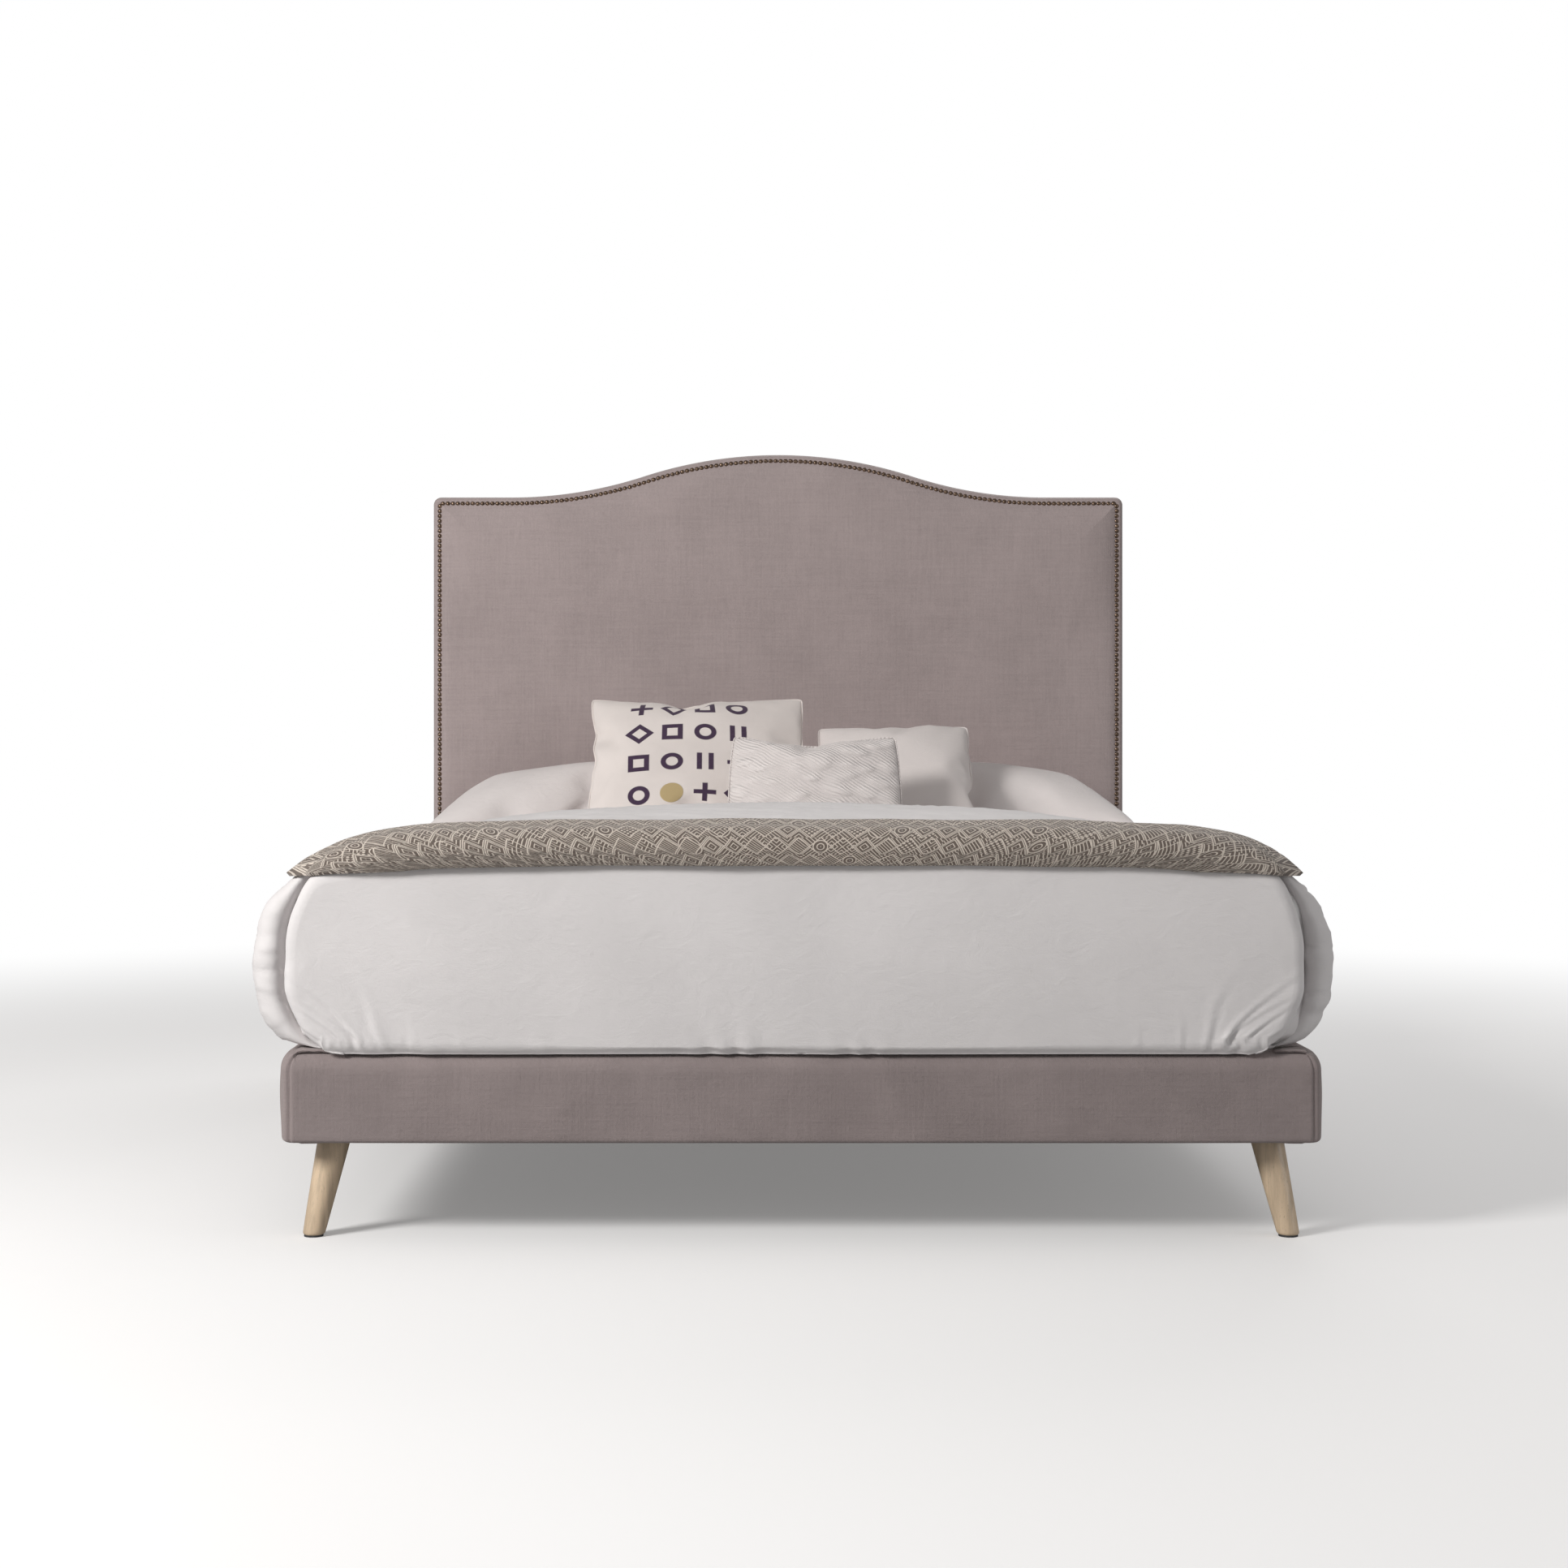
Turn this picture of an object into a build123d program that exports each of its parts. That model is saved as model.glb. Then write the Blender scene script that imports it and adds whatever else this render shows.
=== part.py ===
from build123d import *
from math import asin, cos, degrees, radians, sin
import os

# Upholstered platform bed for a 160 x 200 cm mattress, made up with its bedding: a padded
# base on splayed wooden legs, a camelback headboard with a row of nail heads, a mattress,
# a duvet, a throw, two pillows and three cushions.
# Millimetres. +X is to the right seen from the foot of the bed, +Y runs from the foot to
# the head, +Z is up. Places along the bed are distances from the foot face of the base.

# ---- Driving dimensions ----

# Base
BASE_WIDTH = 1600
BASE_LENGTH = 2000
BASE_LOW = 150
BASE_HEIGHT = 140
BASE_CORNER = 40        # upright corners
BASE_TOP_ROUND = 30
BASE_LOW_ROUND = 8
FABRIC = 2
SIDE_PADDING = 20
DECK_PADDING = 8
DECK_BOARD = 10
SLAT_SECTION = (70, 20)
SLAT_COUNT = 5
RAIL = 25
CENTRE_RAIL = 30
LEDGER = 25
CORNER_BLOCK = (90, 60)  # side and height
TOP_OPENING = 60         # band of the cover that turns in over the deck
LOW_OPENING = 50         # band of the cover that turns in under the rails
DUST_COVER = 1

# Legs
LEG_INSET = 74           # from the base's faces to the middle of a leg's top
LEG_SPLAY = 28           # outward at the floor, both ways
LEG_TOP_R = 26
LEG_FOOT_R = 17
GLIDE = 3
GLIDE_R = 15

# Headboard
BOARD_WIDTH = 1620
BOARD_SIDE = 1340        # height of the level shoulders
BOARD_CREST = 1440
BOARD_SWEEP = 630        # from the middle to where the shoulders become level
BOARD_CORNER = 16
BOARD_GAP = 4            # between the base and the headboard
BOARD_EDGE_ROUND = 8
BOARD_FOAM = 26
BOARD_PLY = 16
BOARD_BACK_BAND = 30
BACK_CLOTH = 1
POST_SECTION = (60, 40)
POST_SPACING = 1000
POST_TOP = 1150
NAIL_R = 5
NAIL_RISE = 2.4
NAIL_INSET = 14
NAIL_PITCH = 11.7

# Fasteners
BOLT_R = 4
SCREW_R = 2.5
SCREW_HEAD_R = 5
HEAD_RISE = 3
PLAY = 0.2               # clearance round a fastener
BOARD_BOLT_HEIGHTS = (190, 240)

# Mattress and sheet
MATTRESS_WIDTH = 1580
MATTRESS_LENGTH = 1980
MATTRESS_HEIGHT = 260
MATTRESS_CORNER = 80
MATTRESS_ROUND = 50
TICKING = 6
CORE_HEIGHT = 210
SHEET = 1.5
REST_GAP = 0.3           # between pieces that lift apart

# Duvet and throw
DUVET_FRONT = -8
DUVET_BACK = 1190
DUVET_TOP = 636
DUVET_HALF = 856
DUVET_WAIST = 430        # height at which the duvet is widest
DUVET_HEM = 296
SHOULDER_X = 556         # where the flat top turns down
SKIRT_X = 756
SKIRT_DROP = 150
DUVET_EDGE_ROUND = 40
THROW_GAP = 0.5
THROW = 9.5
THROW_BACK = 520
THROW_HEM = 570

# Pillows and cushions: width, thickness, height, lean in degrees, middle, foremost point
PILLOW = (750, 400, 150)
PILLOW_MIDDLE = 395
PILLOW_BACK = 1985
LARGE_CUSHION = (440, 110, 400, 42, -185, 1360)
SQUARE_CUSHION = (330, 100, 330, 45, 250, 1380)
SMALL_CUSHION = (335, 90, 245, 22, 62, 1205)

# ---- Worked out from the dimensions above ----

base_half = BASE_WIDTH / 2
base_high = BASE_LOW + BASE_HEIGHT
rail_out = base_half - FABRIC - SIDE_PADDING
rail_in = rail_out - RAIL
rail_foot = FABRIC + SIDE_PADDING
rail_head = BASE_LENGTH - rail_foot
rail_low = BASE_LOW + FABRIC
foam_high = base_high - FABRIC
board_high = foam_high - DECK_PADDING
board_low = board_high - DECK_BOARD
slat_low = board_low - SLAT_SECTION[1]
block_high = rail_low + CORNER_BLOCK[1]
leg_high = BASE_LOW - DUST_COVER

board_front = BASE_LENGTH + BOARD_GAP
foam_front = board_front + FABRIC
ply_front = foam_front + BOARD_FOAM
ply_back = ply_front + BOARD_PLY
board_back = ply_back + FABRIC
post_front = board_back + BACK_CLOTH
post_back = post_front + POST_SECTION[1]

mattress_low = base_high + REST_GAP
sheet_high = mattress_low + MATTRESS_HEIGHT + PLAY + SHEET

foremost = DUVET_FRONT - THROW_GAP - THROW
rearmost = post_back + HEAD_RISE
middle = (foremost + rearmost) / 2


def at(d):
    """Y of a place, from its distance to the base's foot face."""
    return d - middle


def block(x, d, z):
    """Rectangular solid between two places across, along and up."""
    centre = Pos(sum(x) / 2, at(sum(d) / 2), sum(z) / 2)
    return centre * Box(x[1] - x[0], d[1] - d[0], z[1] - z[0])


def mirrored_x(x, side):
    """The same places across, on the left (-1) or the right (+1)."""
    return tuple(sorted(side * value for value in x))


def pin_up(x, d, z, radius):
    return Pos(x, at(d), sum(z) / 2) * Cylinder(radius, z[1] - z[0])


def pin_along(x, d, z, radius):
    return Pos(x, at(sum(d) / 2), z) * Rot(90, 0, 0) * Cylinder(radius, d[1] - d[0])


def pin_across(x, d, z, radius):
    return Pos(sum(x) / 2, at(d), z) * Rot(0, 90, 0) * Cylinder(radius, x[1] - x[0])


def group(solids):
    """Separate solids that share one node."""
    return Compound([solid for item in solids for solid in item.solids()])


pieces = {}

# ---- Base ----


def base_form(inset):
    """Outer shape of the padded base, inset all round."""
    body = block(
        (-base_half + inset, base_half - inset),
        (inset, BASE_LENGTH - inset),
        (BASE_LOW + inset, base_high - inset),
    )
    body = fillet(body.edges().filter_by(Axis.Z), BASE_CORNER - inset)
    body = fillet(body.edges().group_by(Axis.Z)[-1], BASE_TOP_ROUND - inset)
    return fillet(body.edges().group_by(Axis.Z)[0], BASE_LOW_ROUND - inset)


base_inside = base_form(FABRIC)
board_bolts = [
    (side * POST_SPACING / 2, height) for side in (-1, 1) for height in BOARD_BOLT_HEIGHTS
]
bolt_path = group(
    [pin_along(x, (rail_head - RAIL - 10, board_back + 60), z, BOLT_R + PLAY) for x, z in board_bolts]
)

top_opening = (
    (-base_half + TOP_OPENING, base_half - TOP_OPENING),
    (TOP_OPENING, BASE_LENGTH - TOP_OPENING),
)
low_opening = (
    (-base_half + LOW_OPENING, base_half - LOW_OPENING),
    (LOW_OPENING, BASE_LENGTH - LOW_OPENING),
)
pieces["base_cover"] = (
    base_form(0)
    - base_inside
    - block(*top_opening, (foam_high - 1, base_high + 1))
    - block(*low_opening, (BASE_LOW - 1, rail_low + 1))
    - bolt_path
)
pieces["deck_cover"] = block(*top_opening, (foam_high, base_high))

padding_height = (BASE_LOW, foam_high + 1)
for name, side in (("left", -1), ("right", 1)):
    strip = block(mirrored_x((rail_out, base_half), side), (rail_foot, rail_head), padding_height)
    pieces[f"base_foam_{name}"] = base_inside & strip
pieces["base_foam_foot"] = base_inside & block((-base_half, base_half), (0, rail_foot), padding_height)
pieces["base_foam_head"] = (
    base_inside & block((-base_half, base_half), (rail_head, BASE_LENGTH), padding_height)
) - bolt_path
pieces["deck_foam"] = base_inside & block(
    (-rail_out, rail_out), (rail_foot, rail_head), (board_high, foam_high + 1)
)

# Rail corners: two screws through each side rail into the ends of the cross rails
corner_screws = [
    (side, d, z)
    for side in (-1, 1)
    for d in (rail_foot + RAIL / 2, rail_head - RAIL / 2)
    for z in (rail_low + 23, board_low - 25)
]
# Centre rail: two screws through each cross rail into its ends
centre_screws = [
    (outer, inward, z)
    for outer, inward in ((rail_foot, 1), (rail_head, -1))
    for z in (rail_low + 23, slat_low - 25)
]


def corner_screw(side, d, z, play):
    """Countersunk head flush with the rail, shank across the bed."""
    head = mirrored_x((rail_out - HEAD_RISE - play, rail_out), side)
    shank = mirrored_x((rail_out - 53 - play, rail_out - HEAD_RISE), side)
    return pin_across(head, d, z, SCREW_HEAD_R + play) + pin_across(shank, d, z, SCREW_R + play)


def centre_screw(outer, inward, z, play):
    head = sorted((outer, outer + inward * (HEAD_RISE + play)))
    shank = sorted((outer + inward * HEAD_RISE, outer + inward * (53 + play)))
    return pin_along(0, head, z, SCREW_HEAD_R + play) + pin_along(0, shank, z, SCREW_R + play)


screw_holes = group(
    [corner_screw(*place, PLAY) for place in corner_screws]
    + [centre_screw(*place, PLAY) for place in centre_screws]
)
pieces["frame_screws"] = group(
    [corner_screw(*place, 0) for place in corner_screws]
    + [centre_screw(*place, 0) for place in centre_screws]
)

rail_height = (rail_low, board_low)
for name, side in (("left", -1), ("right", 1)):
    rail = block(mirrored_x((rail_in, rail_out), side), (rail_foot, rail_head), rail_height)
    pieces[f"side_rail_{name}"] = rail - screw_holes
    pieces[f"ledger_{name}"] = block(
        mirrored_x((rail_in - LEDGER, rail_in), side),
        (rail_foot + RAIL + CORNER_BLOCK[0], rail_head - RAIL - CORNER_BLOCK[0]),
        (slat_low - LEDGER, slat_low),
    )
pieces["foot_rail"] = (
    block((-rail_in, rail_in), (rail_foot, rail_foot + RAIL), rail_height) - screw_holes
)
t_nut_barrels = group(
    [pin_along(x, (rail_head - RAIL, rail_head - RAIL + 9), z, 5.5 + PLAY) for x, z in board_bolts]
)
pieces["head_rail"] = (
    block((-rail_in, rail_in), (rail_head - RAIL, rail_head), rail_height)
    - screw_holes
    - bolt_path
    - t_nut_barrels
)
centre_leg_bore = pin_up(0, BASE_LENGTH / 2, (BASE_LOW - 60, rail_low + 34), BOLT_R + PLAY)
pieces["centre_rail"] = (
    block(
        (-CENTRE_RAIL / 2, CENTRE_RAIL / 2),
        (rail_foot + RAIL, rail_head - RAIL),
        (rail_low, slat_low),
    )
    - screw_holes
    - centre_leg_bore
)

slat_room = rail_head - rail_foot - 2 * RAIL
for number in range(1, SLAT_COUNT + 1):
    place = rail_foot + RAIL + slat_room * number / (SLAT_COUNT + 1)
    width = (place - SLAT_SECTION[0] / 2, place + SLAT_SECTION[0] / 2)
    pieces[f"cross_slat_{number}"] = block((-rail_in, rail_in), width, (slat_low, board_low))

board_split = BASE_LENGTH / 2
for name, ends in (
    ("foot", (rail_foot, board_split - 0.5)),
    ("head", (board_split + 0.5, rail_head)),
):
    pieces[f"deck_board_{name}"] = block((-rail_out, rail_out), ends, (board_low, board_high))

# ---- Legs, with a block, a bolt and a T-nut at each corner ----

t_nuts = []
leg_bolts = []
glides = []
leg_places = []
corners = [
    (f"{end}_{name}", side, towards)
    for end, towards in (("foot", -1), ("head", 1))
    for name, side in (("left", -1), ("right", 1))
]
for corner, side, towards in corners:
    x = side * (base_half - LEG_INSET)
    d = LEG_INSET if towards < 0 else BASE_LENGTH - LEG_INSET
    foot_x, foot_d = x + side * LEG_SPLAY, d + towards * LEG_SPLAY
    bore = pin_up(x, d, (leg_high - 46, block_high + 1), BOLT_R + PLAY)
    leg = loft(
        [
            Pos(foot_x, at(foot_d), GLIDE) * Circle(LEG_FOOT_R),
            Pos(x, at(d), leg_high) * Circle(LEG_TOP_R),
        ]
    )
    pieces[f"leg_{corner}"] = leg - bore

    side_x = mirrored_x((rail_in - CORNER_BLOCK[0], rail_in), side)
    inner = rail_foot + RAIL if towards < 0 else rail_head - RAIL
    along = sorted((inner, inner - towards * CORNER_BLOCK[0]))
    barrel = (block_high - 9, block_high)
    corner_block = block(side_x, along, (rail_low, block_high))
    pieces[f"corner_block_{corner}"] = corner_block - bore - pin_up(x, d, barrel, 5.5 + PLAY)

    nut = pin_up(x, d, barrel, 5.5) + pin_up(x, d, (block_high, block_high + 2), 11)
    t_nuts.append(nut - pin_up(x, d, (block_high - 10, block_high + 3), BOLT_R + PLAY / 2))
    leg_bolts.append(pin_up(x, d, (leg_high - 45, block_high + 4), BOLT_R))
    glides.append(pin_up(foot_x, foot_d, (0, GLIDE), GLIDE_R))
    leg_places.append((x, d))

centre_leg = loft(
    [
        Pos(0, at(BASE_LENGTH / 2), GLIDE) * Circle(LEG_FOOT_R),
        Pos(0, at(BASE_LENGTH / 2), leg_high) * Circle(LEG_TOP_R),
    ]
)
pieces["leg_centre"] = centre_leg - centre_leg_bore
leg_bolts.append(pin_up(0, BASE_LENGTH / 2, (leg_high - 45, rail_low + 33), BOLT_R))
glides.append(pin_up(0, BASE_LENGTH / 2, (0, GLIDE), GLIDE_R))
leg_places.append((0, BASE_LENGTH / 2))

pieces["leg_t_nuts"] = group(t_nuts)
pieces["leg_bolts"] = group(leg_bolts)
pieces["leg_glides"] = group(glides)

cloth = block(
    (-base_half + rail_foot + 3, base_half - rail_foot - 3),
    (rail_foot + 3, rail_head - 3),
    (leg_high, BASE_LOW),
)
for x, d in leg_places:
    cloth -= pin_up(x, d, (leg_high - 1, BASE_LOW + 1), BOLT_R + PLAY)
pieces["dust_cover"] = cloth

# ---- Headboard ----

board_half = BOARD_WIDTH / 2
sweep_rise = BOARD_CREST - BOARD_SIDE
sweep_r = (BOARD_SWEEP**2 + sweep_rise**2) / (4 * sweep_rise)
sweep_angle = asin(BOARD_SWEEP / 2 / sweep_r)


def board_top(inset):
    """Top edge of the camelback from left to right, as edges: shoulder, dip, crest, dip, shoulder."""
    inner_x = (sweep_r - inset) * sin(sweep_angle)
    inner_z = BOARD_CREST - sweep_r + (sweep_r - inset) * cos(sweep_angle)
    dip_x = BOARD_SWEEP - (sweep_r + inset) * sin(sweep_angle / 2)
    dip_z = BOARD_SIDE + sweep_r - (sweep_r + inset) * cos(sweep_angle / 2)
    level = BOARD_SIDE - inset
    end = board_half - inset
    return [
        Line((-end, level), (-BOARD_SWEEP, level)),
        ThreePointArc((-BOARD_SWEEP, level), (-dip_x, dip_z), (-inner_x, inner_z)),
        ThreePointArc((-inner_x, inner_z), (0, BOARD_CREST - inset), (inner_x, inner_z)),
        ThreePointArc((inner_x, inner_z), (dip_x, dip_z), (BOARD_SWEEP, level)),
        Line((BOARD_SWEEP, level), (end, level)),
    ]


def board_form(inset, d):
    """Slab with the headboard's outline, inset all round, between two places along the bed."""
    end, level, low = board_half - inset, BOARD_SIDE - inset, BASE_LOW + inset
    sides = [
        Line((end, level), (end, low)),
        Line((end, low), (-end, low)),
        Line((-end, low), (-end, level)),
    ]
    outline = make_face(board_top(inset) + sides)
    corners = [v for v in outline.vertices() if abs(v.X) > end - 1]
    outline = fillet(corners, max(BOARD_CORNER - inset, 3))
    upright = Plane(origin=(0, at(d[1]), 0), x_dir=(1, 0, 0), z_dir=(0, -1, 0))
    return extrude(upright * outline, d[1] - d[0])


def rounded_front(body, radius):
    return fillet(body.edges().group_by(Axis.Y)[0], radius)


shell = rounded_front(board_form(0, (board_front, board_back)), BOARD_EDGE_ROUND)
foam = rounded_front(board_form(FABRIC, (foam_front, ply_front)), BOARD_EDGE_ROUND - FABRIC)
ply = board_form(FABRIC, (ply_front, ply_back))
pieces["headboard_cover"] = (
    shell - foam - ply - board_form(FABRIC + BOARD_BACK_BAND, (ply_back - 1, board_back + 1)) - bolt_path
)
pieces["headboard_foam"] = foam - bolt_path
screw_places = [
    (side * POST_SPACING / 2, z) for side in (-1, 1) for z in (420, 750, POST_TOP - 70)
]
screw_path = group(
    [pin_along(x, (ply_back - 11, post_back - 1), z, SCREW_R + PLAY) for x, z in screw_places]
)
pieces["headboard_panel"] = ply - bolt_path - screw_path
pieces["headboard_back_cover"] = (
    board_form(NAIL_INSET, (board_back, post_front)) - bolt_path - screw_path
)

post_x, post_d = POST_SECTION
bolt_holes = group([pin_along(x, (post_front - 1, post_back + 1), z, BOLT_R + PLAY) for x, z in board_bolts])
screw_holes = group([pin_along(x, (post_front - 1, post_back + 1), z, SCREW_R + PLAY) for x, z in screw_places])
for name, side in (("left", -1), ("right", 1)):
    x = side * POST_SPACING / 2
    post = block((x - post_x / 2, x + post_x / 2), (post_front, post_back), (GLIDE, POST_TOP))
    pieces[f"headboard_post_{name}"] = post - bolt_holes - screw_holes
pieces["post_glides"] = group(
    [pin_up(side * POST_SPACING / 2, (post_front + post_back) / 2, (0, GLIDE), GLIDE_R) for side in (-1, 1)]
)

pieces["headboard_bolts"] = group(
    [
        pin_along(x, (rail_head - RAIL + 2, post_back), z, BOLT_R)
        + pin_along(x, (post_back, rearmost), z, 2 * BOLT_R)
        for x, z in board_bolts
    ]
)
pieces["headboard_screws"] = group(
    [
        pin_along(x, (ply_back - 10, post_back), z, SCREW_R)
        + pin_along(x, (post_back, rearmost), z, SCREW_HEAD_R)
        for x, z in screw_places
    ]
)
flange = (rail_head - RAIL - 2, rail_head - RAIL)
pieces["headboard_t_nuts"] = group(
    [
        pin_along(x, flange, z, 11)
        + pin_along(x, (flange[1], flange[1] + 9), z, 5.5)
        - pin_along(x, (flange[0] - 1, flange[1] + 10), z, BOLT_R + PLAY / 2)
        for x, z in board_bolts
    ]
)

# Nail heads: one row up one side, over the camelback and down the other side
nail_end = board_half - NAIL_INSET
nail_low = BASE_LOW + NAIL_INSET
nail_level = BOARD_SIDE - NAIL_INSET
nail_line = Wire(
    [Line((-nail_end, nail_low), (-nail_end, nail_level))]
    + board_top(NAIL_INSET)
    + [Line((nail_end, nail_level), (nail_end, nail_low))]
)
nail_count = round(nail_line.length / NAIL_PITCH) + 1
dome_r = (NAIL_R**2 + NAIL_RISE**2) / (2 * NAIL_RISE)
dome = Sphere(dome_r, arc_size1=90 - degrees(asin(NAIL_R / dome_r)), align=None)
dome = Rot(90, 0, 0) * Pos(0, 0, NAIL_RISE - dome_r) * dome
nails = []
for number in range(nail_count):
    spot = nail_line.position_at(number / (nail_count - 1))
    nails.append(Pos(spot.X, at(board_front), spot.Y) * dome)
pieces["nail_trim"] = group(nails)

# ---- Mattress and fitted sheet ----

mattress_front = (BASE_LENGTH - MATTRESS_LENGTH) / 2


def mattress_form(grow):
    """Outer shape of the mattress, grown all round."""
    half = MATTRESS_WIDTH / 2 + grow
    body = block(
        (-half, half),
        (mattress_front - grow, mattress_front + MATTRESS_LENGTH + grow),
        (mattress_low - grow, mattress_low + MATTRESS_HEIGHT + grow),
    )
    body = fillet(body.edges().filter_by(Axis.Z), MATTRESS_CORNER + grow)
    level_edges = body.edges().group_by(Axis.Z)
    return fillet(level_edges[0] + level_edges[-1], MATTRESS_ROUND + grow)


mattress = mattress_form(0)
filling = mattress_form(-TICKING)
wide = (-base_half, base_half)
whole = (0, BASE_LENGTH)
core_high = mattress_low + CORE_HEIGHT
pieces["mattress_cover"] = mattress - filling
pieces["mattress_core"] = filling & block(wide, whole, (mattress_low, core_high))
pieces["mattress_comfort_layer"] = filling & block(wide, whole, (core_high, sheet_high))
skirt = block((-base_half, base_half), (0, BASE_LENGTH), (mattress_low + 15, sheet_high + 1))
pieces["fitted_sheet"] = (mattress_form(PLAY + SHEET) - mattress_form(PLAY)) & skirt

# ---- Duvet and throw ----


def bedding_form(grow, back):
    """Outer shape of the made-up duvet, grown outward, from the foot to a place along the bed."""
    reach = DUVET_HALF + grow
    tuck = degrees(asin((DUVET_WAIST - DUVET_HEM) / (SKIRT_DROP + grow)))
    skirt_arc = EllipticalCenterArc(
        (SKIRT_X, DUVET_WAIST), reach - SKIRT_X, SKIRT_DROP + grow, start_angle=-tuck, arc_size=tuck
    )
    shoulder_arc = EllipticalCenterArc(
        (SHOULDER_X, DUVET_WAIST),
        reach - SHOULDER_X,
        DUVET_TOP - DUVET_WAIST + grow,
        start_angle=0,
        arc_size=90,
    )
    hem, top = skirt_arc @ 0, shoulder_arc @ 1
    half = make_face(
        [
            skirt_arc,
            shoulder_arc,
            Line(top, (0, top.Y)),
            Line((0, top.Y), (0, hem.Y)),
            Line((0, hem.Y), hem),
        ]
    )
    upright = Plane(origin=(0, at(back), 0), x_dir=(1, 0, 0), z_dir=(0, -1, 0))
    outline = half + mirror(half, about=Plane.YZ)
    body = extrude(upright * outline, back - DUVET_FRONT + grow)
    front_edges = body.edges().group_by(Axis.Y)[0]
    hem_edge = front_edges.group_by(Axis.Z)[0]
    return fillet([edge for edge in front_edges if edge not in hem_edge], DUVET_EDGE_ROUND + grow)


bed_half = MATTRESS_WIDTH / 2 + PLAY + SHEET + THROW_GAP
bed_front = mattress_front - PLAY - SHEET - THROW_GAP
cavity = block(
    (-bed_half, bed_half),
    (bed_front, BASE_LENGTH),
    (BASE_LOW, sheet_high + THROW_GAP),
)
cavity = fillet(cavity.edges().filter_by(Axis.Z), MATTRESS_CORNER + 2)
cavity = fillet(cavity.edges().group_by(Axis.Z)[-1], MATTRESS_ROUND + 2)
pieces["duvet"] = bedding_form(0, DUVET_BACK) - cavity
throw_room = block((-DUVET_HALF, DUVET_HALF), (foremost - 1, THROW_BACK), (THROW_HEM, DUVET_TOP + 20))
throw_body = bedding_form(THROW_GAP + THROW, DUVET_BACK) - bedding_form(THROW_GAP, DUVET_BACK + 1)
pieces["throw"] = throw_body & throw_room

# ---- Pillows and cushions ----

resting = sheet_high + REST_GAP


def soft_form(width, depth, height):
    """A cushion's plain solid, well rounded."""
    return fillet(Box(width, depth, height).edges(), 0.46 * min(depth, height))


for name, side in (("left", -1), ("right", 1)):
    place = Pos(side * PILLOW_MIDDLE, at(PILLOW_BACK - PILLOW[1] / 2), resting + PILLOW[2] / 2)
    pieces[f"pillow_{name}"] = place * soft_form(*PILLOW)


def leaning_cushion(width, thickness, height, lean, x, front):
    """A cushion that stands on the sheet and leans back towards the head."""
    body = Rot(-lean, 0, 0) * soft_form(width, thickness, height)
    box = body.bounding_box()
    return Pos(x, at(front) - box.min.Y, resting - box.min.Z) * body


pieces["cushion_large"] = leaning_cushion(*LARGE_CUSHION)
pieces["cushion_square"] = leaning_cushion(*SQUARE_CUSHION)
pieces["cushion_small"] = leaning_cushion(*SMALL_CUSHION)

# ---- One STEP file for each node ----

os.makedirs("parts", exist_ok=True)
for name, piece in pieces.items():
    export_step(piece, f"parts/{name}.step")
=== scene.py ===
"""Looks for the upholstered platform bed: the made-up bedding, upholstery, legs, floor, light and camera.

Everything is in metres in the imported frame: +X to the right seen from the foot, +Y from foot
to head, +Z up. Places along the bed are distances from the foot face of the base.
"""

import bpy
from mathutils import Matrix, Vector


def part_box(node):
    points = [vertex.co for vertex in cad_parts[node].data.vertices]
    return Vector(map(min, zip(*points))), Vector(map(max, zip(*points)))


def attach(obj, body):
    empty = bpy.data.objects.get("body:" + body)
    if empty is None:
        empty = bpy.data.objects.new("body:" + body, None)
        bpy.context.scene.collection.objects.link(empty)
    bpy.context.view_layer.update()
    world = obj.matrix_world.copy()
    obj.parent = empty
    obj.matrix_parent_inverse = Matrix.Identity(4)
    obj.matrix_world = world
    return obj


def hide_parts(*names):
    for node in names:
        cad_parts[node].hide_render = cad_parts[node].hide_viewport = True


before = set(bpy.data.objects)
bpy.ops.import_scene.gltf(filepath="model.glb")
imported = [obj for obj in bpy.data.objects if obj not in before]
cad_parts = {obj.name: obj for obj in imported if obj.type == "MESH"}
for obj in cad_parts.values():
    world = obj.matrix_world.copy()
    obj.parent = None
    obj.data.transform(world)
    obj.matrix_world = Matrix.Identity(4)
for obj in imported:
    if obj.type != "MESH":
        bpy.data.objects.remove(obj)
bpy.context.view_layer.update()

import math

import bmesh
import bpy
import numpy as np
from mathutils import Euler, Vector

base_low, base_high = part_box("base_cover")
FOOT_Y = base_low.y
BASE_HALF = base_high.x
BASE_LENGTH = base_high.y - base_low.y
DECK = base_high.z
SHEET_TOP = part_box("fitted_sheet")[1].z


def along(d):
    """Y of a place, from its distance to the base's foot face."""
    return FOOT_Y + d


# ---- Number helpers ----


def smoothstep(low, high, value):
    t = np.clip((np.asarray(value, float) - low) / (high - low), 0, 1)
    return t * t * (3 - 2 * t)


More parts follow.
